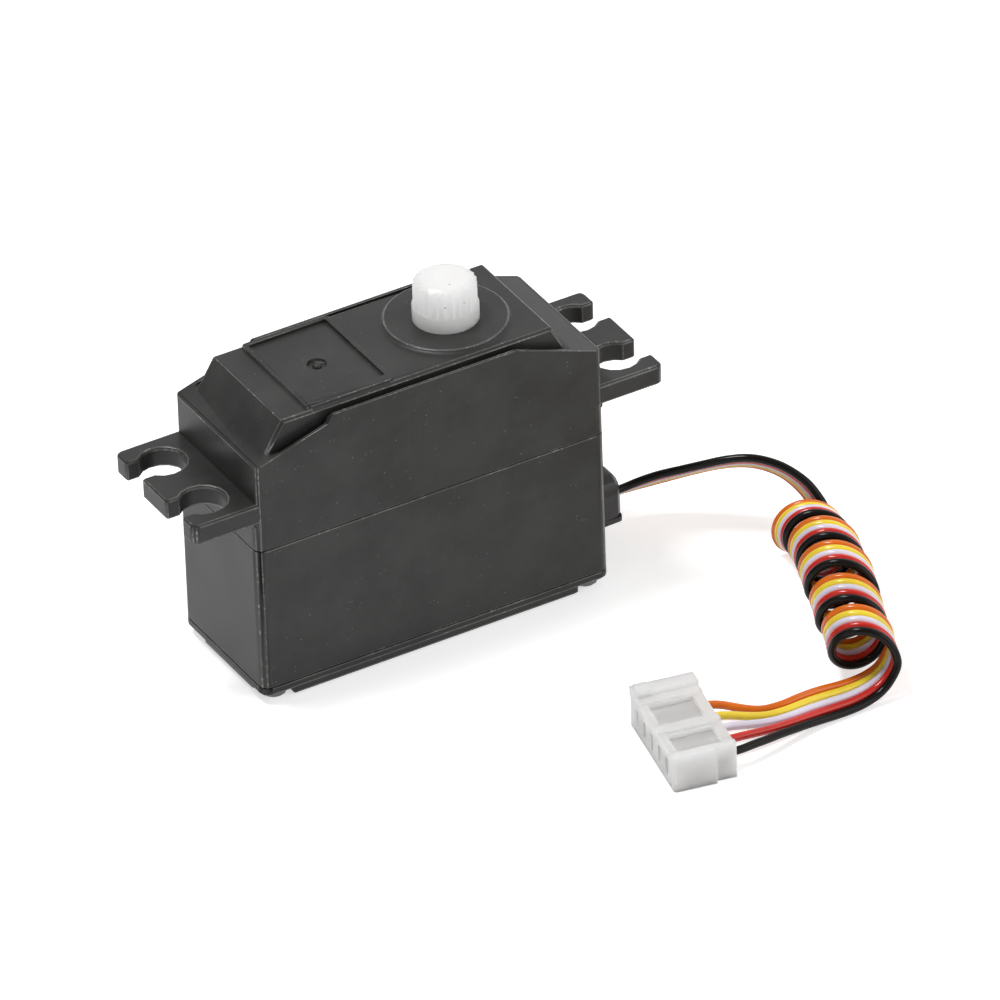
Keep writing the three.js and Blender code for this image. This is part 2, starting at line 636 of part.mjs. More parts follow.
function buildTopCase(plan, screwHoles) {
  const outline = rounded([
    [-halfLength, topBottom],
    [halfLength, topBottom],
    ...roofCorners.toReversed(),
  ], 3);
  const earTop = EAR_BOTTOM + EAR_THICKNESS;
  const upperPlan = centred(CASE_LENGTH - 2 * UPPER_INSET, CASE_WIDTH, UPPER_CORNER);
  const body = prismAlongY(outline, -halfWidth, halfWidth).intersect(join(
    prism(plan, topBottom, earTop - EAR_EDGE), prism(upperPlan, EAR_BOTTOM + EAR_EDGE, BOSS_TOP)));

  // The raised block stands in a groove behind the thin front and back walls
  const grooveStart = BLOCK_LEFT_FOOT;
  const grooveEnd = BLOCK_RIGHT_FOOT + BLOCK_CORNER;
  const bedded = [grooveStart + GROOVE_RUN_OUT, LEFT_STEP_X, RIDGE_LEFT_X, RIDGE_RIGHT_X,
    grooveEnd - GROOVE_RUN_OUT].map((x) => [x, roofHeight(x) - GROOVE_DEPTH]);
  const above = [[grooveStart, roofHeight(grooveStart)], ...bedded,
    [grooveEnd, roofHeight(grooveEnd)], [grooveEnd, BOSS_TOP], [grooveStart, BOSS_TOP]];
  const grooveBand = prismAlongY(above.map(([x, z]) => new THREE.Vector2(x, z)),
    PARAPET - halfWidth, halfWidth - PARAPET);
  const blockBottom = BLOCK_FOOT_Z - BLOCK_SUNK;
  const slope = (BLOCK_RIGHT_FOOT - BLOCK_RIGHT_TOP) / (BLOCK_TOP - roofHeight(BLOCK_RIGHT_FOOT));
  const leftSlope = (BLOCK_LEFT_TOP - BLOCK_LEFT_FOOT) / (BLOCK_TOP - BLOCK_FOOT_Z);
  const block = prismAlongY(rounded([
    [BLOCK_LEFT_FOOT - leftSlope * BLOCK_SUNK, blockBottom],
    [BLOCK_RIGHT_TOP + slope * (BLOCK_TOP - blockBottom), blockBottom],
    [BLOCK_RIGHT_TOP, BLOCK_TOP, BLOCK_CORNER],
    [BLOCK_LEFT_TOP, BLOCK_TOP, BLOCK_CORNER],
  ], 2), -BLOCK_HALF_WIDTH, BLOCK_HALF_WIDTH, BLOCK_EDGE);

  const frameY = BLOCK_HALF_WIDTH - BLOCK_EDGE;
  const frame = prism(rectangle(FRAME_LEFT, FRAME_RIGHT, -frameY, frameY, FRAME_RIM),
    BLOCK_TOP - FRAME_HEIGHT, BLOCK_TOP + FRAME_HEIGHT);
  const window = prism(rectangle(FRAME_LEFT + FRAME_RIM, FRAME_RIGHT - FRAME_RIM,
    FRAME_FRONT_RIM - frameY, frameY - FRAME_RIM, FRAME_HEIGHT), BLOCK_TOP, BOSS_TOP);
  const gateFloor = BLOCK_TOP - GATE_DEPTH;
  const gate = rod(GATE_RADIUS, gateFloor, BOSS_TOP, GATE_X, 0, 16);
  const nub = turned([[0, gateFloor - GATE_DEPTH], [GATE_RADIUS / 2, gateFloor - GATE_DEPTH],
    [0.45 * GATE_RADIUS, BLOCK_TOP - GATE_DEPTH / 3], [0.2 * GATE_RADIUS, BLOCK_TOP],
    [0, BLOCK_TOP]], GATE_X, 0, 9);
  const boss = turned([[0, BLOCK_TOP - BOSS_BEVEL], [BOSS_RADIUS, BLOCK_TOP - BOSS_BEVEL],
    [BOSS_RADIUS, BLOCK_TOP], [BOSS_RADIUS - BOSS_BEVEL, BOSS_TOP], [0, BOSS_TOP]],
  OUTPUT_X, 0, 36);

  // Inside: the gear space between the solid ends, which hold the screws
  const cavityX = halfLength - TOP_END_LENGTH;
  const cavityY = halfWidth - TOP_CASE_WALL;
  const cavity = prism(centred(2 * cavityX, 2 * cavityY, UPPER_CORNER), topBottom - 1, gearCeiling);
  const pocketY = screwY - SCREW_RADIUS - FIT - TOP_CASE_WALL;
  const endPockets = [-1, 1].map((side) => {
    const [low, high] = [side * (cavityX + TOP_CASE_WALL), side * (halfLength - TOP_CASE_WALL)]
      .sort((a, b) => a - b);
    return prism(rectangle(low, high, -pocketY, pocketY, UPPER_CORNER), topBottom - 1, earTop);
  });
  const roofPocket = prism(rectangle(-cavityX + TOP_END_LENGTH / 4, middleX - 2 * AXLE_RADIUS,
    -pocketY, pocketY, UPPER_CORNER), topBottom, BLOCK_TOP - 1.5 * TOP_CASE_WALL);
  const axleSeat = rod(AXLE_RADIUS + PRESS_GAP, topBottom, gearCeiling + AXLE_SEAT, middleX);
  const bearing = rod(JOURNAL_RADIUS + RUNNING_FIT, topBottom, BOSS_TOP + 1, OUTPUT_X, 0, 32);
  const pilots = screwHoles(topBottom - 1, SCREW_TIP + CORD_GAP);
  const raised = cut(join(cut(body, grooveBand), block, frame), window, gate);
  return cut(join(raised, nub, boss, buildEar(1), buildEar(-1)),
    cavity, ...endPockets, roofPocket, axleSeat, bearing, ...pilots);
}

// A mounting ear: three prongs round two keyhole slots that are open outwards.
function buildEar(side) {
  const round = EAR_CORNER;
  const lip = EAR_CORNER / 2;
  const slot = (from, to) => {
    const centreY = Math.sign(from) * EAR_HOLE_Y;
    const start = Math.asin((from - centreY) / EAR_HOLE_RADIUS);
    const end = Math.asin((to - centreY) / EAR_HOLE_RADIUS);
    const steps = 12;
    const points = [[earReach, from, lip]];
    for (let k = 0; k <= steps; k += 1) {
      const angle = start + (end - 2 * Math.PI - start) * k / steps;
      points.push([earHoleX + EAR_HOLE_RADIUS * Math.cos(angle),
        centreY + EAR_HOLE_RADIUS * Math.sin(angle)]);
    }
    points.push([earReach, to, lip]);
    return points;
  };
  const root = halfLength - EAR_ROOT;
  const outline = rounded([
    [root, -EAR_HALF_WIDTH],
    [earReach, -EAR_HALF_WIDTH, round],
    ...slot(-EAR_MOUTH_OUTER, -EAR_MOUTH_INNER),
    ...slot(EAR_MOUTH_INNER, EAR_MOUTH_OUTER),
    [earReach, EAR_HALF_WIDTH, round],
    [root, EAR_HALF_WIDTH],
  ], 3).map(({ x, y }) => new THREE.Vector2(side * x, y));
  if (side < 0) outline.reverse();
  const fillet = prismAlongY(rounded([
    [root, EAR_BOTTOM - EAR_FILLET], [halfLength, EAR_BOTTOM - EAR_FILLET],
    [halfLength, EAR_BOTTOM, EAR_FILLET / 2], [halfLength + EAR_FILLET, EAR_BOTTOM],
    [halfLength + EAR_FILLET, EAR_BOTTOM + EAR_EDGE], [root, EAR_BOTTOM + EAR_EDGE],
  ], 2).map(({ x, y }) => new THREE.Vector2(side * x, y)), 2 * EAR_EDGE - EAR_HALF_WIDTH,
    EAR_HALF_WIDTH - 2 * EAR_EDGE);
  return join(prism(outline, EAR_BOTTOM, EAR_BOTTOM + EAR_THICKNESS, [], EAR_EDGE), fillet);
}

function buildScrews() {
  corners.forEach(([sx, sy], i) => {
    const headTop = PAD_HEIGHT - PRESS_GAP;
    const headBottom = headTop - SCREW_HEAD_HEIGHT;
    const body = turned([
      [0, headBottom],
      [SCREW_HEAD_RADIUS * 0.7, headBottom],
      [SCREW_HEAD_RADIUS, headBottom + SCREW_SLOT],
      [SCREW_HEAD_RADIUS, headTop],
      [SCREW_RADIUS, headTop],
      [SCREW_RADIUS, SCREW_TIP - SCREW_RADIUS],
      [0, SCREW_TIP],
    ], 0, 0, 12);
    const bar = [SCREW_RADIUS, SCREW_SLOT / 2];
    const [cross, other] = [bar, bar.toReversed()].map(([x, y]) =>
      box(-x, x, -y, y, -1, headBottom + SCREW_RECESS));
    add(`case_screw_${i + 1}`, moved(cut(body, cross, other), sx * screwX, sy * screwY), 'screw');
  });
}

function buildMotor() {
  const at = (piece) => moved(piece, motorX, 0);
  const canBore = canRadius - CAN_WALL;
  const can = cut(
    join(turned([[0, canBottom], [canRadius, canBottom], [canRadius, canTop - CAN_WALL],
      [canRadius - CAN_WALL, canTop], [0, canTop]]),
    rod(MOTOR_BOSS_RADIUS, canTop - CAN_WALL / 2, canTop + MOTOR_BOSS_HEIGHT)),
    rod(canBore, canBottom - 1, canTop - CAN_WALL, 0, 0, 24),
    rod(BUSHING_RADIUS + PRESS_GAP, canTop - 1, canTop + 2),
    ...[-1, 1].map((side) => rod(MOTOR_SCREW_RADIUS + FIT, canTop - 1, canTop + 1,
      0, side * MOTOR_SCREW_Y, 16)));
  add('motor_can', at(can), 'steel');

  const bushingBottom = canTop - CAN_WALL - BUSHING_SEAT;
  add('motor_bushing', at(ring(MOTOR_SHAFT_RADIUS + RUNNING_FIT, BUSHING_RADIUS,
    bushingBottom, canTop + MOTOR_BOSS_HEIGHT)), 'bronze');
  [-1, 1].forEach((side, i) => {
    const headBottom = deckTop + PRESS_GAP;
    const headTop = headBottom + MOTOR_SCREW_HEAD_HEIGHT;
    const head = rod(MOTOR_SCREW_HEAD, headBottom, headTop);
    const shank = rod(MOTOR_SCREW_RADIUS, canTop - CAN_WALL, headTop - FIT);
    const slot = box(-MOTOR_SCREW_HEAD - 1, MOTOR_SCREW_HEAD + 1, -1.5 * FIT, 1.5 * FIT,
      headTop - MOTOR_SCREW_HEAD_HEIGHT / 2, headTop + 1);
    add(`motor_screw_${i + 1}`, moved(cut(join(head, shank), slot), motorX,
      side * MOTOR_SCREW_Y), 'screw');
  });

  // Two arc magnets inside the can
  const magnetOuter = canBore - PRESS_GAP;
  const magnetInner = magnetOuter - MAGNET_THICKNESS;
  [0, Math.PI].forEach((direction, i) => {
    const steps = 8;
    const arc = (radius, sign) => Array.from({ length: steps + 1 }, (_, k) => {
      const angle = direction + sign * MAGNET_SPAN * (k / steps - 0.5);
      return new THREE.Vector2(radius * Math.cos(angle), radius * Math.sin(angle));
    });
    const outline = [...arc(magnetOuter * Math.cos(Math.PI / 24), 1), ...arc(magnetInner, -1)];
    add(`motor_magnet_${i + 1}`, at(prism(outline, rotorBottom - ROTOR_GAP,
      rotorTop + ROTOR_GAP)), 'ferrite');
  });

  // Rotor: laminated poles, one winding on each, commutator and shaft
  const rotorRadius = magnetInner - ROTOR_GAP;
  const coreRadius = CORE_SHARE * rotorRadius;
  const shoeThickness = SHOE_SHARE * rotorRadius;
  const shoeInner = rotorRadius - shoeThickness;
  const core = rod(coreRadius, rotorBottom, rotorTop);
  const poleShoe = ring(shoeInner, rotorRadius, rotorBottom, rotorTop, 0, 0, 18);
  const arm = box(coreRadius / 2, shoeInner + shoeThickness / 2, -ARM_WIDTH / 2, ARM_WIDTH / 2,
    rotorBottom, rotorTop);
  const shoeGap = box(coreRadius + SHOE_GAP, rotorRadius + 1, -SHOE_GAP / 2, SHOE_GAP / 2,
    rotorBottom - 1, rotorTop + 1);
  const spin = (piece, angle) => transformed(piece, new THREE.Matrix4().makeRotationZ(angle));
  const poleAngles = Array.from({ length: POLES }, (_, k) => 2 * Math.PI * k / POLES);
  const laminations = join(core, poleShoe, ...poleAngles.map((angle) => spin(arm, angle)));
  const shaftBore = rod(MOTOR_SHAFT_RADIUS + PRESS_GAP, 0, canTop);
  add('rotor_core', at(cut(laminations, shaftBore,
    ...poleAngles.map((angle) => spin(shoeGap, angle + Math.PI / POLES)))), 'steel');
  const slotHalf = ARM_WIDTH / 2 + FIT / 2;
  poleAngles.forEach((angle, k) => {
    const outer = box(coreRadius + 2 * FIT, shoeInner - WINDING_SHARE * rotorRadius, -WINDING_WIDTH / 2,
      WINDING_WIDTH / 2, rotorBottom - WINDING_OVERHANG, rotorTop + WINDING_OVERHANG);
    const window = box(0, rotorRadius, -slotHalf, slotHalf, rotorBottom - FIT / 2,
      rotorTop + FIT / 2);
    add(`rotor_winding_${k + 1}`, at(spin(cut(outer, window), angle)), 'copper');
  });
  const capBottom = canBottom + FIT;
  const commutatorBottom = capBottom + END_CAP_THICKNESS + 2 * FIT;
  const commutatorTop = commutatorBottom + COMMUTATOR_LENGTH;
  const segmentGaps = poleAngles.map((angle) => spin(box(COMMUTATOR_RADIUS - BRUSH_THICKNESS,
    COMMUTATOR_RADIUS + 1, -FIT, FIT, commutatorBottom - 1, commutatorTop - 3 * FIT), angle));
  add('commutator', at(cut(ring(MOTOR_SHAFT_RADIUS + PRESS_GAP, COMMUTATOR_RADIUS,
    commutatorBottom, commutatorTop), ...segmentGaps)), 'copper');
  add('motor_shaft', at(rod(MOTOR_SHAFT_RADIUS, canBottom + 2 * FIT,
    firstLevel + WHEEL_FACE + END_PLAY)), 'steel');

  // End cap with its bearing, terminals and brushes
  const capTop = capBottom + END_CAP_THICKNESS;
  const terminalHalf = TERMINAL_WIDTH / 2;
  const terminalDepth = TERMINAL_THICKNESS / 2;
  const cap = cut(
    join(rod(canBore - PRESS_GAP, capBottom, capTop, 0, 0, 24),
      rod(3 * MOTOR_SHAFT_RADIUS, capBottom - CAN_WALL, capBottom + FIT)),
    rod(MOTOR_SHAFT_RADIUS + RUNNING_FIT, canBottom, capTop + 1),
    ...[-1, 1].map((side) => box(-terminalHalf - FIT / 2, terminalHalf + FIT / 2,
      side * TERMINAL_Y - terminalDepth - FIT / 2, side * TERMINAL_Y + terminalDepth + FIT / 2,
      0, capTop + 1)));
  add('motor_end_cap', at(cap), 'nylon');
  const brushBottom = commutatorBottom + 2 * FIT;
  [-1, 1].forEach((side, i) => {
    const terminal = box(-terminalHalf, terminalHalf, side * TERMINAL_Y - terminalDepth,
      side * TERMINAL_Y + terminalDepth, COVER_FLOOR + WIRE / 2, brushBottom + BRUSH_THICKNESS);
    add(`motor_terminal_${i + 1}`, at(terminal), 'bronze');
    const [low, high] = [side * (TERMINAL_Y - terminalDepth - FIT / 2),
      side * (COMMUTATOR_RADIUS + FIT / 2)].sort((a, b) => a - b);
    const brush = box(-BRUSH_THICKNESS, BRUSH_THICKNESS, low, high, brushBottom,
      brushBottom + BRUSH_THICKNESS);
    add(`motor_brush_${i + 1}`, at(brush), 'bronze');
  });
}

function buildPotentiometer() {
  const at = (piece) => moved(piece, OUTPUT_X, 0);
  const potTop = deckBottom - CORD_GAP;
  const potBottom = potTop - POT_HEIGHT;
  const body = cut(
    prism(centred(POT_LENGTH, potWidth, 1), potBottom, potTop - POT_COVER - PRESS_GAP),
    rod(POT_BORE, potBottom + POT_FLOOR, potTop + 1),
    rod(POT_SHAFT_RADIUS + RUNNING_FIT, potBottom - 1, potTop + 1));
  add('pot_body', at(body), 'board');
  add('pot_cover', at(cut(prism(centred(POT_LENGTH, potWidth, 1), potTop - POT_COVER, potTop),
    rod(POT_SHAFT_RADIUS + RUNNING_FIT, potTop - 2, potTop + 1))), 'steel');
  const trackBottom = potBottom + POT_FLOOR + PRESS_GAP;
  const trackTop = trackBottom + POT_TRACK;
  add('pot_track', at(ring(POT_SHAFT_RADIUS + 4 * FIT, POT_BORE - FIT, trackBottom, trackTop)),
    'ferrite');

  // The wiper's arm runs level and its foot slides on the track
  const armBottom = trackTop + PRESS_GAP + 3 * FIT;
  const armTop = armBottom + WIPER_SHEET;
  const armEnd = POT_BORE - 6 * FIT;
  const wiper = join(
    ring(POT_SHAFT_RADIUS + PRESS_GAP, POT_SHAFT_RADIUS + 8 * FIT, armBottom,
      armBottom + 2 * WIPER_SHEET),
    box(POT_SHAFT_RADIUS + 5 * FIT, armEnd, -WIPER_WIDTH / 2, WIPER_WIDTH / 2, armBottom, armTop),
    box(armEnd - 5 * FIT, armEnd, -WIPER_WIDTH / 2, WIPER_WIDTH / 2, trackTop + PRESS_GAP, armTop));
  add('pot_wiper', at(wiper), 'bronze');

  const shoulder = secondLevel - END_PLAY / 2;
  const keyStart = outputLevel - END_PLAY;
  const shaft = join(
    rod(POT_SHAFT_RADIUS, potBottom + FIT, shoulder),
    rod(AXLE_RADIUS, shoulder - AXLE_RADIUS, keyStart + FIT),
    potKey(AXLE_RADIUS, POT_FLAT, keyStart, outputTop + HUB_THICKNESS));
  add('pot_shaft', at(shaft), 'steel');

  [-1, 0, 1].forEach((step, i) => {
    const y = step * POT_TERMINAL_PITCH;
    const tab = box(POT_LENGTH / 2 + PRESS_GAP, POT_LENGTH / 2 + POT_TERMINAL,
      y - POT_TERMINAL_WIDTH / 2, y + POT_TERMINAL_WIDTH / 2, potBottom + 2 * FIT,
      potBottom + 5 * FIT);
    add(`pot_terminal_${i + 1}`, at(tab), 'bronze');
  });
}

// Where each wire of the ribbon passes the grommet, from black (front) to orange (back)
const across = (index) => (WIRES.length - 1) / 2 - index;
const slotPlace = (index) => [
  -across(index) * LEAD_PITCH * Math.cos(SLOT_TILT),
  SLOT_Z + across(index) * LEAD_PITCH * Math.sin(SLOT_TILT),
];

function buildGrommet() {
  const barrelStart = halfLength + FIT / 2;
  const barrelOutline = rounded([
    [-GROMMET_HALF_WIDTH, GROMMET_BOTTOM, GROMMET_ROUND / 2],
    [GROMMET_HALF_WIDTH, GROMMET_BOTTOM, GROMMET_ROUND / 2],
    [GROMMET_HALF_WIDTH, GROMMET_TOP, GROMMET_ROUND],
    [-GROMMET_HALF_WIDTH, GROMMET_TOP, GROMMET_ROUND]], 4);
  const middleZ = (GROMMET_BOTTOM + GROMMET_TOP) / 2;
  const barrel = geometryOf(prismAlongX(barrelOutline, barrelStart - 2 * GROMMET_EDGE,
    GROMMET_TIP, GROMMET_EDGE));
  const place = barrel.attributes.position;
  for (let i = 0; i < place.count; i += 1) {
    const shrink = 1 - GROMMET_TAPER * (place.getX(i) - barrelStart) / (GROMMET_TIP - barrelStart);
    place.setY(i, place.getY(i) * shrink);
    place.setZ(i, middleZ + (place.getZ(i) - middleZ) * shrink);
  }
  const barrelOutside = cut(solid(barrel), box(barrelStart - 4 * GROMMET_EDGE, barrelStart,
    -GROMMET_TOP, GROMMET_TOP, 0, 2 * GROMMET_TOP));

  // A lip stands out all round the lower edge of the barrel
  const lipY = GROMMET_HALF_WIDTH * (1 - GROMMET_TAPER / 2);
  const lip = prism(rounded([
    [barrelStart, -lipY], [GROMMET_TIP + GROMMET_LIP, GROMMET_LIP - lipY, GROMMET_EDGE],
    [GROMMET_TIP + GROMMET_LIP, lipY - GROMMET_LIP, GROMMET_EDGE], [barrelStart, lipY],
  ]), GROMMET_BOTTOM + GROMMET_LIP, GROMMET_BOTTOM + GROMMET_LIP_HEIGHT, [], 0);

  const neckTop = GROMMET_TOP - GROMMET_FLANGE / 2;
  const neckBottom = middleBottom + FIT;
  const wallInside = halfLength - CASE_WALL;
  const neck = box(wallInside - GROMMET_FLANGE, barrelStart + GROMMET_EDGE, -GROMMET_NECK,
    GROMMET_NECK, GROMMET_BOTTOM + GROMMET_LIP, neckTop);
  const flange = box(wallInside - FIT - GROMMET_FLANGE, wallInside - FIT,
    -GROMMET_HALF_WIDTH, GROMMET_HALF_WIDTH, neckBottom + FIT, neckTop + 3 * FIT);
  const slotWidth = LEAD_PITCH * (WIRES.length - 1) + WIRE + 2 * SLOT_CLEARANCE;
  const slotOutline = centred(slotWidth, WIRE + 2 * SLOT_CLEARANCE, WIRE / 4, 2)
    .map((point) => point.rotateAround(new THREE.Vector2(), -SLOT_TILT))
    .map(({ x, y }) => new THREE.Vector2(x, y + SLOT_Z));
  const slot = prismAlongX(slotOutline, wallInside - 4 * GROMMET_FLANGE, GROMMET_TIP + 1);
  add('cable_grommet', cut(join(barrelOutside, lip, neck, flange), slot), 'rubber');
}

// The five leads inside the case, from the grommet to the motor and the potentiometer
function buildLeads() {
  const potLeadX = OUTPUT_X + POT_LENGTH / 2 + POT_TERMINAL / 2 + WIRE / 2;
  const potLeadTop = deckBottom - CORD_GAP - POT_HEIGHT;
  const potLeadFoot = potLeadTop - 1.25;
  const motorLeadX = motorX + 1.25;
  const inside = halfLength - CASE_WALL - 2.6;
  const bend = inside - 1.45;
  const sideY = halfWidth - CASE_WALL - FIT - COVER_LIP_THICKNESS - WIRE / 2 - CORD_GAP;
  const floorZ = COVER_FLOOR + WIRE / 2 + FIT;
  const routes = {
    black: [[bend, -0.77 * sideY, floorZ + 3], [bend - 2.4, -sideY, floorZ + 1.6],
      [bend - 9.4, -sideY, floorZ + 0.4], [motorLeadX + 4.8, -sideY, floorZ + 0.15],
      [motorLeadX, -TERMINAL_Y, floorZ + 0.15]],
    red: [[bend, -1.9, floorZ + 2.1], [bend - 2.4, -2.9, floorZ + 1], [bend - 9.4, -3, floorZ + 0.2],
      [motorLeadX + 5.8, -1, floorZ + 0.15], [motorLeadX + 2.8, 2.4, floorZ + 0.15],
      [motorLeadX, TERMINAL_Y, floorZ + 0.15]],
    white: [[bend + 0.7, -0.7, 5.4], [bend, -2.1, 7.4], [potLeadX, -POT_TERMINAL_PITCH, potLeadFoot],
      [potLeadX, -POT_TERMINAL_PITCH, potLeadTop]],
    yellow: [[bend + 0.7, 0.6, 4.6], [bend, 0.3, 7], [potLeadX, 0, potLeadFoot],
      [potLeadX, 0, potLeadTop]],
    orange: [[bend + 0.7, 1.8, 4], [bend, 2.3, 6.4], [potLeadX, POT_TERMINAL_PITCH, potLeadFoot],
      [potLeadX, POT_TERMINAL_PITCH, potLeadTop]],
  };
  WIRES.forEach((colour, index) => {
    const [y, z] = slotPlace(index);
    const start = [[GROMMET_TIP, y, z], [halfLength + 1, y, z], [inside + 1.2, y, z],
      [inside, y, z]];
    const route = new THREE.CatmullRomCurve3([...start, ...routes[colour]]
      .map((point) => new THREE.Vector3(...point)), false, 'centripetal');
    add(`lead_${colour}`, tubeAlong(route, WIRE / 2, 6, 14), colour);
  });
}

function tubeAlong(curve, radius, sides, steps) {
  const outline = Array.from({ length: sides }, (_, k) => {
    const angle = 2 * Math.PI * (k + 0.5) / sides;
    return new THREE.Vector2(radius * Math.cos(angle), radius * Math.sin(angle));
  });
  const geometry = new THREE.ExtrudeGeometry(new THREE.Shape(outline), {
    steps, bevelEnabled: false, extrudePath: curve,
  });
  return solid(geometry);
}

// The plug's own frame: x towards the wires, y from the black wire to the orange one
const plugFrame = new THREE.Group();
plugFrame.position.set(PLUG_X, PLUG_Y, FLOOR_CLEARANCE);
plugFrame.rotation.z = PLUG_YAW;
plugFrame.updateMatrixWorld();
servo.add(plugFrame);
const plugPoint = (x, y, z) => new THREE.Vector3(x, y, z).applyMatrix4(plugFrame.matrixWorld);
const plugAcross = new THREE.Vector3(Math.sin(PLUG_YAW), -Math.cos(PLUG_YAW), 0);

// The coil: a flat ribbon wound on the surface, turning about a level axis
const coilAxis = new THREE.Vector3(-Math.sin(COIL_YAW), -Math.cos(COIL_YAW), 0);
const coilSide = new THREE.Vector3(Math.cos(COIL_YAW), -Math.sin(COIL_YAW), 0);
const ribbonReach = LEAD_PITCH * (WIRES.length - 1) / 2;
const coilEndAngle = 2 * Math.PI * COIL_TURNS + COIL_END;

// A size given for each whole turn, as a smooth function of the angle.
function keyed(values) {
  const curve = new THREE.SplineCurve(values.map((value, turn) => new THREE.Vector2(turn, value)));
  return (angle) => curve.getPoint(angle / (2 * Math.PI * (values.length - 1))).y;
}
const coilAlong = keyed(COIL_ALONG);
const coilAside = keyed(COIL_ASIDE);
const coilLean = keyed(COIL_LEAN);
const coilRadius = keyed(COIL_RADIUS);

const coilOutward = (angle) => new THREE.Vector3()
  .addScaledVector(AXIS_Z, Math.cos(angle))
  .addScaledVector(coilSide, Math.sin(angle));

// Direction across the ribbon, from the orange to the black wire.
const coilAcross = (angle) => new THREE.Vector3()
  .addScaledVector(coilAxis, Math.cos(coilLean(angle)))
  .addScaledVector(coilOutward(angle), Math.sin(coilLean(angle)));

function coilPoint(angle) {
  const height = coilRadius(angle) + WIRE / 2 + 2 * FLOOR_CLEARANCE
    + ribbonReach * Math.sin(coilLean(angle));
  return new THREE.Vector3(...COIL_MIDDLE, height)
    .addScaledVector(coilAxis, coilAlong(angle))
    .addScaledVector(coilSide, coilAside(angle))
    .addScaledVector(coilOutward(angle), coilRadius(angle));
}

const coilDirection = (angle) =>
  coilPoint(angle + 0.01).sub(coilPoint(angle - 0.01)).normalize();
const beforeCoil = (distance) =>
  coilPoint(COIL_START).addScaledVector(coilDirection(COIL_START), -distance);
const afterCoil = (distance) =>
  coilPoint(coilEndAngle).addScaledVector(coilDirection(coilEndAngle), distance);

// Routes of the free stretches: [place, direction from the orange to the black wire, spread]
const atGrommet = [0, -Math.cos(SLOT_TILT), Math.sin(SLOT_TILT)];
const coilGap = WIRE + CORD_GAP;
const STRETCH = [
  [[GROMMET_TIP + CORD_GAP, 0, SLOT_Z], atGrommet, 1],
  [[GROMMET_TIP + CORD_GAP + WIRE / 2, 0, SLOT_Z], atGrommet, 1],
  [[GROMMET_TIP + 2 * WIRE, -0.16, SLOT_Z + 0.13], [-0.1, -0.76, 0.65], 1],
  [[26.12, -0.61, 4.74], [-0.28, -0.69, 0.67], 1],
  [[29.03, -2.21, 5.63], [-0.58, -0.56, 0.59], 1],
  [[31.52, -4.44, 6.83], [-0.71, -0.46, 0.53], 1],
  [[33.65, -6.98, 7.92], [-0.65, -0.39, 0.65], 1],
  [[35.46, -9.75, 8.05], [-0.45, -0.45, 0.77], 1],
  [[37.23, -12.16, 7.05], [-0.22, -0.78, 0.59], 1],
  [beforeCoil(coilGap + WIRE / 2).toArray(), coilAcross(COIL_START).toArray(), 1],
  [beforeCoil(coilGap).toArray(), coilAcross(COIL_START).toArray(), 1],
];
const TAIL = [
  [afterCoil(coilGap).toArray(), coilAcross(coilEndAngle).toArray(), 1],
  [afterCoil(coilGap + WIRE / 2).toArray(), coilAcross(coilEndAngle).toArray(), 1],
  [[30.66, -35.27, 0.98], [-0.16, -0.98, 0.09], 1],
  [[28.04, -35.52, 0.54], [0.02, -1, 0.01], 1],
  [[25.23, -35.76, 0.74], [0.07, -0.99, -0.12], 1],
  [[22.39, -35.96, 0.94], [0.04, -0.99, -0.11], 1],
  [[19.59, -36.04, 1.02], [-0.03, -1, 0.06], 1.15],
  [[16.92, -35.74, 1.31], [-0.13, -0.99, 0.06], 1.65],
  [plugPoint(PLUG_LENGTH / 2 + 1.5, 0, CAVITY_Z).toArray(), plugAcross.toArray(), 2],
  [plugPoint(PLUG_LENGTH / 2 + CORD_GAP, 0, CAVITY_Z).toArray(), plugAcross.toArray(),
    PLUG_PITCH / LEAD_PITCH],
];

// Stations along a smooth curve through route points.
function stationsAlong(route, steps) {
  const smooth = (points) => new THREE.CatmullRomCurve3(
    points.map((point) => new THREE.Vector3(...point)), false, 'centripetal');
  const places = smooth(route.map(([place]) => place));
  const directions = new THREE.CatmullRomCurve3(
    route.map(([, direction]) => new THREE.Vector3(...direction)), false, 'catmullrom', 0.5);
  return Array.from({ length: steps + 1 }, (_, k) => {
    const share = k / steps;
    const reach = share * (route.length - 1);
    const before = Math.min(Math.floor(reach), route.length - 2);
    const spread = THREE.MathUtils.lerp(route[before][2], route[before + 1][2], reach - before);
    return {
      place: places.getPoint(share),
      ahead: places.getTangent(share),
      across: directions.getPoint(share),
      spread,
    };
  });
}

// Outline of the bonded wires: a ridge for each wire and a hollow or web between them.
function ribbonSection(spread, webbed) {
  const radius = WIRE / 2;
  const last = WIRES.length - 1;
  const upper = [];
  for (let wire = 0; wire <= last; wire += 1) {
    const centre = (wire - last / 2) * LEAD_PITCH * spread;
    const end = wire === 0 ? -1 : 1;
    if (wire === 0) upper.push([centre - radius, 0]);
    if (wire > 0 && webbed) upper.push([centre - RIDGE_FOOT * radius, BONE]);
    upper.push([centre + (wire === 0 || wire === last ? RIDGE_FLAT * end * radius : 0), radius]);
    if (wire < last) {
      upper.push(webbed ? [centre + RIDGE_FOOT * radius, BONE]
        : [centre + radius, HOLLOW * radius]);
    } else {
      upper.push([centre + radius, 0]);
    }
  }
  const lower = upper.slice(1, -1).map(([w, n]) => [w, -n]).reverse();
  return [...upper, ...lower];
}

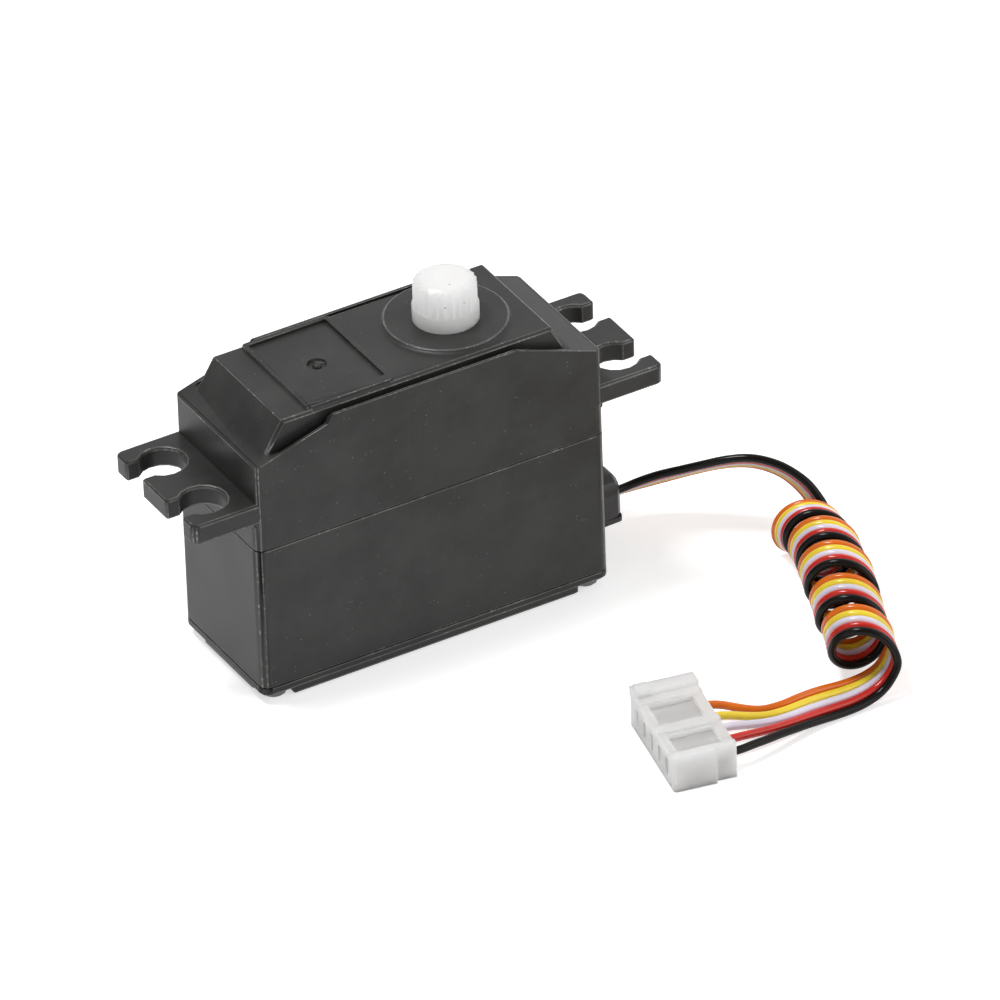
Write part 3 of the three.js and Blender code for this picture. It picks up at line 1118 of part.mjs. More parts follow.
// A section carried from station to station as one closed body.
function ribbonThrough(stations, webbed) {
  const rings = stations.map(({ place, ahead, across: direction, spread }) => {
    const along = ahead.clone().normalize();
    const wide = direction.clone().addScaledVector(along, -direction.dot(along)).normalize();
    const thick = along.clone().cross(wide);
    return ribbonSection(spread, webbed).map(([w, n]) =>
      place.clone().addScaledVector(wide, w).addScaledVector(thick, n));
  });
  const count = rings[0].length;
  const faces = [];
  for (let step = 0; step < rings.length - 1; step += 1) {
    for (let k = 0; k < count; k += 1) {
      const here = step * count + k;
      const next = step * count + (k + 1) % count;
      faces.push(here, next, next + count, here, next + count, here + count);
    }
  }
  const flat = ribbonSection(1, webbed).map(([w, n]) => new THREE.Vector2(w, n));
  const lastRing = (rings.length - 1) * count;
  THREE.ShapeUtils.triangulateShape(flat, []).forEach((corner) => {
    const area = THREE.ShapeUtils.area(corner.map((index) => flat[index]));
    const [a, b, c] = area * THREE.ShapeUtils.area(flat) > 0 ? corner : corner.toReversed();
    faces.push(c, b, a, lastRing + a, lastRing + b, lastRing + c);
  });
  const geometry = new THREE.BufferGeometry();
  geometry.setAttribute('position',
    new THREE.Float32BufferAttribute(rings.flat().flatMap((point) => point.toArray()), 3));
  geometry.setIndex(faces);
  return solid(geometry);
}

function coilStations() {
  const steps = Math.round(COIL_STEPS * (coilEndAngle - COIL_START) / (2 * Math.PI));
  const station = (angle, place) => ({
    place, ahead: coilDirection(angle), across: coilAcross(angle), spread: 1,
  });
  const turns = Array.from({ length: steps + 1 }, (_, k) => {
    const angle = COIL_START + (coilEndAngle - COIL_START) * k / steps;
    return station(angle, coilPoint(angle));
  });
  return [
    station(COIL_START, beforeCoil(WIRE)),
    ...turns,
    station(coilEndAngle, afterCoil(WIRE)),
  ];
}

// The least gap between neighbouring turns, measured on points along every wire.
function coilSelfGap() {
  const perTurn = 60;
  const half = perTurn / 2;
  const count = Math.ceil(perTurn * (coilEndAngle - COIL_START) / (2 * Math.PI));
  const samples = Array.from({ length: count + 1 }, (_, k) => {
    const angle = COIL_START + (coilEndAngle - COIL_START) * k / count;
    const along = coilDirection(angle);
    const wide = coilAcross(angle);
    wide.addScaledVector(along, -wide.dot(along)).normalize();
    return WIRES.map((_, wire) =>
      coilPoint(angle).addScaledVector(wide, across(wire) * LEAD_PITCH));
  });
  let least = Infinity;
  samples.forEach((wires, i) => samples.slice(i + half).forEach((others) => {
    wires.forEach((point) => others.forEach((other) => {
      least = Math.min(least, point.distanceTo(other) - WIRE);
    }));
  }));
  return least;
}

function buildRibbon() {
  add('ribbon_stretch', ribbonThrough(stationsAlong(STRETCH, 15), false), 'black');
  add('ribbon_coil', ribbonThrough(coilStations(), false), 'yellow');
  add('ribbon_tail', ribbonThrough(stationsAlong(TAIL, 18), true), 'red');
  console.log(`ribbon coil: least gap to itself ${coilSelfGap().toFixed(2)} mm`);
}

function buildPlug() {
  const front = -PLUG_LENGTH / 2;
  const rear = PLUG_LENGTH / 2;
  const side = PLUG_WIDTH / 2;
  const raised = (low, high, height, from = front, to = rear) =>
    box(from, to, low, high, PLUG_HEIGHT - POCKET_DEPTH, PLUG_HEIGHT + height);
  const block = prism(rectangle(front, rear, -side, side, PLUG_EDGE, 2), 0, PLUG_HEIGHT);

  // Keying rib with a catch on it, a low step beside it and two low ribs
  const keyRib = join(
    raised(side - KEY_RIB_WIDTH, side, KEY_RIB_HEIGHT),
    raised(side - KEY_RIB_WIDTH - PLUG_EDGE, side - PLUG_EDGE, KEY_RIB_HEIGHT + PLUG_EDGE,
      front + PLUG_EDGE, front + KEY_RIB_WIDTH));
  const keyStart = side - KEY_RIB_WIDTH;
  const step = raised(keyStart - KEY_STEP_WIDTH, keyStart + FIT, PLUG_EDGE);
  const ridgeY = -across(1) * PLUG_PITCH + PLUG_PITCH / 2;
  const ridge = raised(ridgeY - LOW_RIB_WIDTH / 2, ridgeY + LOW_RIB_WIDTH / 2, LOW_RIB_HEIGHT);
  const nearRib = raised(-side, LOW_RIB_WIDTH - side, LOW_RIB_HEIGHT);
  const pockets = [
    [ridgeY + LOW_RIB_WIDTH, keyStart - KEY_STEP_WIDTH - 2 * FIT],
    [LOW_RIB_WIDTH + FIT - side, ridgeY - LOW_RIB_WIDTH],
  ].map(([low, high]) => box(front + SLIT_WALL, rear - KEY_STEP_WIDTH, low, high,
    PLUG_HEIGHT - POCKET_DEPTH, PLUG_HEIGHT + 1));
  const cornerStep = box(rear - PLUG_PITCH, rear + 1, -side - 1, CORNER_STEP - side, -1,
    PLUG_HEIGHT + 1);
  const cavityBottom = CAVITY_Z - CAVITY_HEIGHT / 2;
  const cavityTop = CAVITY_Z + CAVITY_HEIGHT / 2;
  const cavities = WIRES.map((_, wire) => {
    const y = -across(wire) * PLUG_PITCH;
    return join(
      box(front + SLIT_WALL, rear + 1, y - CAVITY_WIDTH / 2, y + CAVITY_WIDTH / 2,
        cavityBottom, cavityTop),
      box(front - 1, front + 2 * SLIT_WALL, y - SLIT_WIDTH / 2, y + SLIT_WIDTH / 2,
        cavityBottom, cavityTop + 2 * FIT));
  });
  const housing = cut(join(block, keyRib, step, ridge, nearRib), ...pockets, cornerStep,
    ...cavities);
  add('plug_housing', housing, 'plug', plugFrame);

  const half = CAVITY_WIDTH / 2 - FIT;
  const low = cavityBottom + FIT;
  const high = cavityTop - FIT;
  const socketStart = front + SLIT_WALL + FIT;
  const socketEnd = socketStart + SOCKET_LENGTH;
  const crimpEnd = rear - 2 * FIT;
  const crimpStart = crimpEnd - CRIMP_LENGTH;
  WIRES.forEach((colour, wire) => {
    const y = -across(wire) * PLUG_PITCH;
    const inner = half - CONTACT_SHEET;
    const socket = cut(box(socketStart, socketEnd, y - half, y + half, low, high),
      box(socketStart - 1, socketEnd - 2 * CONTACT_SHEET, y - inner, y + inner,
        low + CONTACT_SHEET, high - CONTACT_SHEET));
    const neck = box(socketEnd - FIT, crimpStart + FIT, y - CONTACT_SHEET, y + CONTACT_SHEET,
      low, low + CONTACT_SHEET + FIT);
    const crimp = cut(box(crimpStart, crimpEnd, y - half, y + half, low, high - 3 * FIT),
      box(crimpStart - 1, crimpEnd + 1, y - inner, y + inner, low + CONTACT_SHEET, high + 1));
    add(`contact_${colour}`, join(socket, neck, crimp), 'bronze', plugFrame);
  });
}

buildCase();
buildScrews();
buildMotor();
buildGears();
buildOutput();
buildPotentiometer();
buildGrommet();
buildLeads();
buildRibbon();
buildPlug();

export default servo;
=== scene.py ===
"""Surfaces, lead and studio for a small steering servo.

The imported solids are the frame. The case, the output gear, the grommet and the plug are
refined from their solids, the five wires of the lead are swept along their route, and every
piece gets a worked material. Lengths are metres; route points are millimetres times MM.
"""

import json
import math

import bmesh
import bpy
import numpy as np
from bpy.props import FloatProperty, FloatVectorProperty, PointerProperty
from bpy.types import Operator, Panel, PropertyGroup
from mathutils import Matrix, Vector

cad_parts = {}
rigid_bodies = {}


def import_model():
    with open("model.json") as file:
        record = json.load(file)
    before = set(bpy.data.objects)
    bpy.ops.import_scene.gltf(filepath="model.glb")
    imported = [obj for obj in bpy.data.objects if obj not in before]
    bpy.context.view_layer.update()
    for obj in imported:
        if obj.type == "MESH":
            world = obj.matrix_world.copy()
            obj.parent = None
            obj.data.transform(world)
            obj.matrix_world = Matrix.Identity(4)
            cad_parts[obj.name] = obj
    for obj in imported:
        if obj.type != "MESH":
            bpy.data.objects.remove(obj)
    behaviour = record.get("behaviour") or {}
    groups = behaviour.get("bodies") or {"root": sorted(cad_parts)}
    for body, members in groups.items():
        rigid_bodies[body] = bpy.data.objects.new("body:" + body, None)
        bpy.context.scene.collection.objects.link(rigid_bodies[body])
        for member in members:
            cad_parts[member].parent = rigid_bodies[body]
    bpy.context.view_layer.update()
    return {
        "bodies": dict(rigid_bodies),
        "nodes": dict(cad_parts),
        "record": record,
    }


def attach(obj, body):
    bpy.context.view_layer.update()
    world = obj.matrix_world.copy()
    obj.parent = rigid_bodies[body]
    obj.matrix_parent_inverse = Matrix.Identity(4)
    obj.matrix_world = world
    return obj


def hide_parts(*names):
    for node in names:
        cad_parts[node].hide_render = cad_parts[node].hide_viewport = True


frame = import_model()

bl_info = {
    "name": "Steering Servo",
    "version": (1, 0, 0),
    "blender": (4, 5, 0),
    "location": "3D View > Sidebar > Servo",
    "description": "Dresses the solids of a steering servo and lays its ribbon lead",
    "category": "Object",
}

MM = 0.001
UP = np.array([0.0, 0.0, 1.0])
COLOURS = ("black", "red", "white", "yellow", "orange")

# Copied solids: what counts as one point, as one flat face, and as an edge too short to round
MERGED_WITHIN = 2e-6
FLAT_WITHIN = math.radians(0.6)
SHORT_EDGE = 0.0008

# Where the lead leaves the grommet, and how its ribbon leans there, in millimetres
SLOT_TILT = math.radians(38)
SLOT = (0, -math.cos(SLOT_TILT), math.sin(SLOT_TILT))
GROMMET_TIP = (22.9, 0.0, 4.3)

# Coil of the lead. Each row has a value for each whole turn, from 0 to 6: its place along and
# beside the coil's line, the pitch and the turn of its own axis, its radius and its lift
COIL_YAW = 0.324
COIL_MIDDLE = (33.65, -23.15)
COIL_ALONG = (-12.7, -7.99, -3.47, 1.19, 5.85, 10.38, 15.58)
COIL_ASIDE = (-1.88, -0.41, -0.18, -0.15, -0.23, -0.21, -0.19)
COIL_PITCH = (0.52, 0.32, 0.16, 0.09, 0.02, -0.03, -0.09)
COIL_TURN = (-0.21, -0.05, 0.04, 0.07, 0.08, 0.06, 0.03)
COIL_RADIUS = (2.62, 2.67, 2.8, 2.97, 2.83, 2.72, 2.67)
COIL_LIFT = (0, 0, 0.83, 0.9, 0.68, 0.43, 0.05)
COIL_FROM = math.radians(80)
COIL_TO = math.radians(5 * 360 + 105)

# From the ribbon's middle to its outer wires, and from a wire's middle to what it lies on
RIBBON_REACH = 1.8
WIRE_REACH = 0.48

# Sampling of the route: points on each curve and on the coil, then step and averaging rounds
CURVE_POINTS = 160
COIL_POINTS = 260
ROUTE_STEP = 0.25
ROUTE_ROUNDS = 8

# Plug: its place, its turn and its contacts
PLUG_PLACE = (10.3, -34.4, 0.04)
PLUG_YAW = math.radians(-11)
PLUG_PITCH = 2.0
CAVITY_HEIGHT = 1.65

# Studio: what the lights look at, and the floor's reach, drop and glow
LIGHT_AIM = (0.01, -0.01, 0.015)
FLOOR_REACH = 3.0
FLOOR_DROP = 0.00002
FLOOR_GLOW = 0.58

# Surround: the direction in which it brightens, where that starts and ends, and its dim side
SKY_DIRECTION = (0.75, 0, -0.55)
SKY_START = -0.65
SKY_END = 0.1
SKY_DIM = (0.25, 0.25, 0.25)


# Settings


def length_setting(name, description, default):
    """A length in metres that is shown in the scene's unit."""
    return FloatProperty(
        name=name, description=description, default=default, unit="LENGTH",
        subtype="DISTANCE", precision=5, min=0.0,
    )


def colour_setting(name, description, default):
    """A linear RGB colour."""
    return FloatVectorProperty(
        name=name, description=description, default=default, size=3, subtype="COLOR",
        min=0.0, max=1.0,
    )


class ServoSizes(PropertyGroup):
    """Sizes of the edges and of the lead"""

    case_edge: length_setting("Case edge", "Width of the moulded edges of the case", 0.0001)
    output_edge: length_setting("Output edge", "Width of the output gear's edges", 0.00006)
    grommet_edge: length_setting("Grommet edge", "Width of the grommet's edges", 0.00025)
    plug_edge: length_setting("Plug edge", "Width of the plug's edges", 0.00021)
    wire: length_setting("Wire", "Diameter of one wire of the lead", 0.0008)
    spacing: length_setting("Wire spacing", "Distance between bonded wires", 0.00087)


class ServoColours(PropertyGroup):
    """Colours of the servo"""

    case: colour_setting("Case", "Matte moulded case", (0.0315, 0.0330, 0.0308))
    nylon: colour_setting("Output nylon", "Output gear and shaft", (0.93, 0.93, 0.92))
    gears: colour_setting("Gear acetal", "Gears inside the case", (0.78, 0.74, 0.64))
    plug: colour_setting("Plug nylon", "Plug housing", (0.95, 0.95, 0.95))
    rubber: colour_setting("Rubber", "Cable grommet", (0.022, 0.022, 0.022))
    black: colour_setting("Black wire", "Outermost wire, motor", (0.008, 0.007, 0.006))
    red: colour_setting("Red wire", "Second wire, motor", (0.66, 0.022, 0.012))
    white: colour_setting("White wire", "Middle wire", (0.80, 0.76, 0.88))
    yellow: colour_setting("Yellow wire", "Fourth wire", (0.98, 0.72, 0.045))
    orange: colour_setting("Orange wire", "Innermost wire", (0.78, 0.16, 0.008))


class StudioSettings(PropertyGroup):
    """Camera and light"""

    azimuth: FloatProperty(
        name="Azimuth", description="Camera direction round the servo, from the front",
        default=math.radians(-29.16), subtype="ANGLE",
    )
    elevation: FloatProperty(
        name="Elevation", description="Camera height above the horizon",
        default=math.radians(33.97), subtype="ANGLE",
    )
    roll: FloatProperty(
        name="Roll", description="Turn of the camera about its line of sight",
        default=-0.036, subtype="ANGLE",
    )
    distance: length_setting("Distance", "Camera distance from the target", 1.414085)
    target: FloatVectorProperty(
        name="Target", description="Point that the camera looks at",
        default=(0.011207, 0.0, 0.007808), size=3, unit="LENGTH", subtype="TRANSLATION",
        precision=5,
    )
    lens: FloatProperty(
        name="Lens", description="Focal length in millimetres", default=550.0,
        unit="CAMERA",
    )
    key: FloatProperty(name="Key light", description="Watts of the key light", default=2.1)
    fill: FloatProperty(name="Fill light", description="Watts of the fill light", default=0.6)
    sky: FloatProperty(name="Sky", description="Strength of the light all round", default=0.7)


# Meshes


def linked_object(name, data):
    """A new object in the scene that holds the data."""
    piece = bpy.data.objects.new(name, data)
    bpy.context.scene.collection.objects.link(piece)
    return piece


def mesh_object(name, points, faces, uv=None):
    """A mesh object at the origin from arrays of points and faces.

    Each face is a row of indices; uv holds one pair for each corner in face order.
    """
    mesh = bpy.data.meshes.new(name)
    mesh.from_pydata(points.tolist(), [], [list(face) for face in faces])
    if uv is not None:
        layer = mesh.uv_layers.new(name="UVMap")
        layer.data.foreach_set("uv", np.asarray(uv, np.float32).ravel())
    mesh.update()
    mesh.shade_smooth()
    return linked_object(name, mesh)


def smooth_curve(points, samples, even=False):
    """Centripetal Catmull-Rom curve through the points, as rows of a whole array.

    Each span between two points is a cubic Hermite curve. Its end slopes come from the four
    nearest points, weighted by the square roots of the distances between them, or evenly.
    """
    points = np.asarray(points, float)
    full = np.vstack([2 * points[0] - points[1], points, 2 * points[-1] - points[-2]])
    step = np.sqrt(np.linalg.norm(np.diff(full, axis=0), axis=1))[:, None]
    step = np.ones_like(step) if even else step
    reach = np.linspace(0, len(points) - 1, samples)
    span = np.minimum(reach.astype(int), len(points) - 2)
    w = (reach - span)[:, None]
    p0, p1, p2, p3 = (full[span + k] for k in range(4))
    d0, d1, d2 = (step[span + k] for k in range(3))
    leave = d1 * ((p1 - p0) / d0 - (p2 - p0) / (d0 + d1) + (p2 - p1) / d1)
    arrive = d1 * ((p2 - p1) / d1 - (p3 - p1) / (d1 + d2) + (p3 - p2) / d2)
    return (
        (2 * w**3 - 3 * w**2 + 1) * p1 + (w**3 - 2 * w**2 + w) * leave
        + (3 * w**2 - 2 * w**3) * p2 + (w**3 - w**2) * arrive
    )


def unit(vectors):
    """The vectors at length one."""
    return vectors / np.linalg.norm(vectors, axis=-1, keepdims=True)


def swept_tube(name, path, across, radius, sides=20):
    """A round tube along a path.

    Point (i, j) = path i + radius (cos of angle j times n + sin of angle j times b), where n
    is the across direction made square to the path and b = path direction x n. Both ends
    close with a flat disc. U is the length along the path in metres, V the share round it.
    """
    ahead = unit(np.gradient(path, axis=0))
    n = unit(across - np.sum(across * ahead, axis=1, keepdims=True) * ahead)
    b = np.cross(ahead, n)
    angle = 2 * np.pi * np.arange(sides) / sides
    ring = np.cos(angle)[None, :, None] * n[:, None] + np.sin(angle)[None, :, None] * b[:, None]
    points = (path[:, None] + radius * ring).reshape(-1, 3)
    rows, columns = np.meshgrid(np.arange(len(path) - 1), np.arange(sides), indexing="ij")
    following = (columns + 1) % sides
    quads = np.stack([
        rows * sides + columns, rows * sides + following,
        (rows + 1) * sides + following, (rows + 1) * sides + columns,
    ], axis=-1).reshape(-1, 4)
    along = np.r_[0, np.cumsum(np.linalg.norm(np.diff(path, axis=0), axis=1))]
    u = np.stack([along[rows], along[rows], along[rows + 1], along[rows + 1]], axis=-1)
    v = np.stack([columns, columns + 1, columns + 1, columns], axis=-1) / sides
    ends = [list(range(sides))[::-1], list(range(len(points) - sides, len(points)))]
    uv = np.concatenate([np.stack([u, v], axis=-1).reshape(-1, 2), np.zeros((2 * sides, 2))])
    return mesh_object(name, points, quads.tolist() + ends, uv)


def weigh_edges(work, width, angle, short):
    """Gives each outer edge its share of a round of some width.

    The share is at most one. A face beside the edge has to be three rounds deep for that,
    and the edge two rounds long. Inner corners and edges up to the short length get nothing.
    """
    share = work.edges.layers.float.new("bevel_weight_edge")
    for side in work.edges:
        length = side.calc_length()
        if length > short and side.is_manifold and side.calc_face_angle_signed() > angle:
            depth = min(face.calc_area() for face in side.link_faces) / length
            side[share] = min(1, depth / (3 * width), length / (2 * width))


def refined(node, name, edge, segments=2, angle=28, smooth=32, short=SHORT_EDGE, held=False):
    """A copy of a solid's mesh with its flat faces merged and its outer edges rounded off.

    The rounded edges take the second material slot, so they can show wear and a painted
    highlight. Held, all the rounds narrow until none overlaps.
    """
    mesh = frame["nodes"][node].data.copy()
    mesh.name = name
    mesh.materials.clear()
    work = bmesh.new()
    work.from_mesh(mesh)
    bmesh.ops.remove_doubles(work, verts=work.verts, dist=MERGED_WITHIN)
    bmesh.ops.dissolve_limit(
        work, angle_limit=FLAT_WITHIN, verts=work.verts, edges=work.edges,
    )
    if edge:
        weigh_edges(work, edge, math.radians(angle), short)
    work.to_mesh(mesh)
    work.free()
    mesh.shade_smooth()
    mesh.set_sharp_from_angle(angle=math.radians(smooth))
    piece = linked_object(name, mesh)
    if edge:
        bevel = piece.modifiers.new("Moulded edge", "BEVEL")
        bevel.width = edge
        bevel.segments = segments
        bevel.limit_method = "WEIGHT"
        bevel.use_clamp_overlap = held
        bevel.miter_outer = "MITER_ARC"
        bevel.material = 1
    normals = piece.modifiers.new("Face normals", "WEIGHTED_NORMAL")
    normals.keep_sharp = True
    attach(piece, body_of(node))
    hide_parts(node)
    return piece


def body_of(node):
    """Name of the body that a node belongs to."""
    bodies = frame["record"]["behaviour"]["bodies"]
    return next(body for body, members in bodies.items() if node in members)


# Materials


def add_node(tree, kind, inputs=(), **settings):
    """A shader node with its settings, and with each input set to a value or linked."""
    node = tree.nodes.new(kind)
    for key, value in settings.items():
        setattr(node, key, value)
    for key, value in dict(inputs).items():
        if isinstance(value, bpy.types.NodeSocket):
            tree.links.new(value, node.inputs[key])
        else:
            node.inputs[key].default_value = value
    return node


def math_node(tree, operation, first, second=0.0, clamp=False):
    """The result of one sum on two values or sockets."""
    return add_node(
        tree, "ShaderNodeMath", {0: first, 1: second}, operation=operation, use_clamp=clamp,
    ).outputs[0]


def blend_colour(tree, factor, first, second):
    """A colour between two colours or sockets."""
    node = add_node(tree, "ShaderNodeMix", data_type="RGBA")
    for index, value in ((0, factor), (6, first), (7, second)):
        if isinstance(value, bpy.types.NodeSocket):
            tree.links.new(value, node.inputs[index])
        else:
            node.inputs[index].default_value = (*value, 1.0) if index else value
    return node.outputs[2]


def ramp(tree, value, low, high):
    """A value stretched from low..high to 0..1, with soft ends."""
    return add_node(
        tree, "ShaderNodeMapRange", {0: value, 1: low, 2: high}, interpolation_type="SMOOTHSTEP",
    ).outputs[0]


def noise(tree, vector, scale, detail=3.0, roughness=0.55):
    """Cloudy values round a half."""
    return add_node(
        tree, "ShaderNodeTexNoise",
        {"Vector": vector, "Scale": scale, "Detail": detail, "Roughness": roughness},
    ).outputs[0]


def new_group(name, inputs, outputs):
    """An empty node group with named sockets, and its input and output nodes."""
    group = bpy.data.node_groups.new(name, "ShaderNodeTree")
    for socket, kind, default in inputs:
        made = group.interface.new_socket(name=socket, in_out="INPUT", socket_type=kind)
        if default is not None:
            made.default_value = default
    for socket, kind in outputs:
        group.interface.new_socket(name=socket, in_out="OUTPUT", socket_type=kind)
    return group, group.nodes.new("NodeGroupInput"), group.nodes.new("NodeGroupOutput")


def moulded_grain():
    """Grain of a spark-eroded mould: fine pits, slow changes of tone, and bright specks."""
    if "Moulded grain" in bpy.data.node_groups:
        return bpy.data.node_groups["Moulded grain"]
    group, given, out = new_group(
        "Moulded grain",
        [("Vector", "NodeSocketVector", None), ("Grain", "NodeSocketFloat", 6000.0),
         ("Specks", "NodeSocketFloat", 2200.0)],
        [("Height", "NodeSocketFloat"), ("Tone", "NodeSocketFloat"),
         ("Specks", "NodeSocketFloat")],
    )
    vector = given.outputs["Vector"]
    pits = noise(group, vector, given.outputs["Grain"], detail=2.0, roughness=0.6)
    slow = noise(group, vector, 160.0, detail=4.0, roughness=0.6)
    cells = add_node(
        group, "ShaderNodeTexVoronoi", {"Vector": vector, "Scale": given.outputs["Specks"]},
    )
    keep = ramp(group, noise(group, vector, 900.0, detail=1.0), 0.58, 0.66)
    dots = math_node(group, "MULTIPLY", ramp(group, cells.outputs["Distance"], 0.16, 0.08), keep)
    group.links.new(pits, out.inputs["Height"])
    group.links.new(ramp(group, slow, 0.3, 0.7), out.inputs["Tone"])
    group.links.new(dots, out.inputs["Specks"])
    return group


def rubbed_streaks():
    """Fine rubbed lines that run one way and come and go."""
    if "Rubbed streaks" in bpy.data.node_groups:
        return bpy.data.node_groups["Rubbed streaks"]
    group, given, out = new_group(
        "Rubbed streaks", [("Vector", "NodeSocketVector", None)],
        [("Streaks", "NodeSocketFloat")],
    )
    lines = noise(group, given.outputs["Vector"], 900.0, roughness=0.7)
    patches = noise(group, given.outputs["Vector"], 90.0, detail=2.0)
    strong = math_node(
        group, "MULTIPLY", ramp(group, lines, 0.55, 0.75), ramp(group, patches, 0.45, 0.65),
    )
    group.links.new(strong, out.inputs["Streaks"])
    return group


def object_place(tree, scale=(1, 1, 1), turn=(0, 0, 0)):
    """Object coordinates, turned and stretched."""
    place = add_node(tree, "ShaderNodeTexCoord").outputs["Object"]
    if scale == (1, 1, 1) and turn == (0, 0, 0):
        return place
    return add_node(
        tree, "ShaderNodeMapping", {"Vector": place, "Scale": scale, "Rotation": turn},
    ).outputs[0]


def placed(tree, group, inputs):
    """A node that places a group in a material, with its inputs set or linked."""
    return add_node(tree, "ShaderNodeGroup", inputs, node_tree=group)


def new_material(name, **fixed):
    """A material with its Principled shader; fixed values go on the shader's own sockets."""
    material = bpy.data.materials.new(name)
    material.use_nodes = True
    tree = material.node_tree
    shader = next(n for n in tree.nodes if n.type == "BSDF_PRINCIPLED")
    for key, value in fixed.items():
        shader.inputs[key.replace("_", " ")].default_value = value
    return material, tree, shader


def link_bump(tree, shader, height, distance):
    """A bump from a height, in metres, on the shader's normal."""
    bump = add_node(
        tree, "ShaderNodeBump", {"Height": height, "Distance": distance, "Strength": 1.0},
    )
    tree.links.new(bump.outputs[0], shader.inputs["Normal"])


def tinted(colour, amount):
    """The colour lighter or darker by a factor."""
    return tuple(min(1.0, channel * amount) for channel in colour)


def moulded_plastic(
    name, colour, roughness=0.5, depth=0.00001, grain=6000.0, specks=0.0, speck_colour=None,
    tone=0.12, rubbed=0.0, **fixed,
):
    """Moulded plastic: a fine grain, a slow tone, specks and rubbed streaks."""
    material, tree, shader = new_material(name, **fixed)
    place = object_place(tree)
    surface = placed(tree, moulded_grain(), {"Vector": place, "Grain": grain})
    base = blend_colour(
        tree, surface.outputs["Tone"], tinted(colour, 1 - tone), tinted(colour, 1 + tone),
    )
    if specks:
        strength = math_node(tree, "MULTIPLY", surface.outputs["Specks"], specks)
        base = blend_colour(tree, strength, base, speck_colour or tinted(colour, 3.0))
    if rubbed:
        slanted = object_place(tree, (1, 1, 0.06), (0.6, 0.5, 0))
        streaks = placed(tree, rubbed_streaks(), {"Vector": slanted})
        strength = math_node(tree, "MULTIPLY", streaks.outputs[0], rubbed)
        base = blend_colour(tree, strength, base, tinted(colour, 2.2))
    tree.links.new(base, shader.inputs["Base Color"])
    rough = math_node(
        tree, "ADD", math_node(tree, "MULTIPLY", surface.outputs["Tone"], 0.08), roughness - 0.04,
    )
    tree.links.new(rough, shader.inputs["Roughness"])
    link_bump(tree, shader, surface.outputs["Height"], depth)
    return material


def worn_edge_with_painted_highlight(name, colour, worn, share=0.45):
    """Moulded plastic edges: a painted highlight makes them lighter; the bright rubbed dashes are
    wear.
    """
    material, tree, shader = new_material(name, Roughness=0.38)
    place = object_place(tree)
    dashes = math_node(
        tree, "MULTIPLY", ramp(tree, noise(tree, place, 2600.0), 0.5, 0.68),
        ramp(tree, noise(tree, place, 420.0, detail=2.0), 0.42, 0.62),
    )
    slow = ramp(tree, noise(tree, place, 300.0), 0.35, 0.65)
    # Painted highlight: the rounded edges are painted 1.6 to 3.6 times lighter than the case
    base = blend_colour(tree, slow, tinted(colour, 1.6), tinted(colour, 3.6))
    # Rubbed dashes of wear, in the worn colour, over the painted highlight
    base = blend_colour(tree, math_node(tree, "MULTIPLY", dashes, share), base, worn)
    tree.links.new(base, shader.inputs["Base Color"])
    link_bump(tree, shader, dashes, 0.000006)
    return material


def worked_metal(name, colour, roughness=0.3, stretch=(1, 1, 0.03), scale=2500.0):
    """Drawn or turned metal: fine lines one way, and a slow change of tone."""
    material, tree, shader = new_material(name, Metallic=1.0)
    lines = noise(tree, object_place(tree, stretch), scale, roughness=0.6)
    slow = ramp(tree, noise(tree, object_place(tree), 300.0), 0.3, 0.7)
    base = blend_colour(tree, slow, tinted(colour, 0.85), tinted(colour, 1.05))
    tree.links.new(base, shader.inputs["Base Color"])
    rough = math_node(tree, "ADD", math_node(tree, "MULTIPLY", lines, 0.25), roughness - 0.12)
    tree.links.new(rough, shader.inputs["Roughness"])
    link_bump(tree, shader, lines, 0.000004)
    return material


def wound_copper(name):
    """Enamelled wire wound side by side: a row of ridges across the winding, with painted shade
    in the grooves between turns and a painted highlight on their crowns.
    """
    material, tree, shader = new_material(name, Metallic=1.0)
    place = object_place(tree)
    ridges = add_node(
        tree, "ShaderNodeTexWave", {"Vector": place, "Scale": 950.0, "Distortion": 0.6},
        bands_direction="Z",
    ).outputs[0]
    # Painted shade and highlight: the copper is painted dark in the grooves and bright on the
    # crowns of the ridges
    base = blend_colour(tree, ridges, (0.36, 0.11, 0.03), (0.86, 0.42, 0.17))
    tree.links.new(base, shader.inputs["Base Color"])
    rough = math_node(tree, "ADD", math_node(tree, "MULTIPLY", ridges, -0.15), 0.42)
    tree.links.new(rough, shader.inputs["Roughness"])
    link_bump(tree, shader, ridges, 0.00006)
    return material


def vinyl(name, colour, gloss):
    """Extruded vinyl: glossy, with a slow tone along the wire and a faint waviness."""
    material, tree, shader = new_material(
        name, Specular_IOR_Level=gloss, Coat_Weight=0.5 * gloss + 0.06, Coat_Roughness=0.04,
    )
    place = object_place(tree)
    slow = ramp(tree, noise(tree, place, 220.0), 0.3, 0.7)
    fine = noise(tree, place, 1400.0)
    base = blend_colour(tree, slow, tinted(colour, 0.9), tinted(colour, 1.06))
    tree.links.new(base, shader.inputs["Base Color"])
    rough = math_node(tree, "ADD", math_node(tree, "MULTIPLY", fine, 0.14), 0.14)
    tree.links.new(rough, shader.inputs["Roughness"])
    link_bump(tree, shader, fine, 0.000008)
    return material


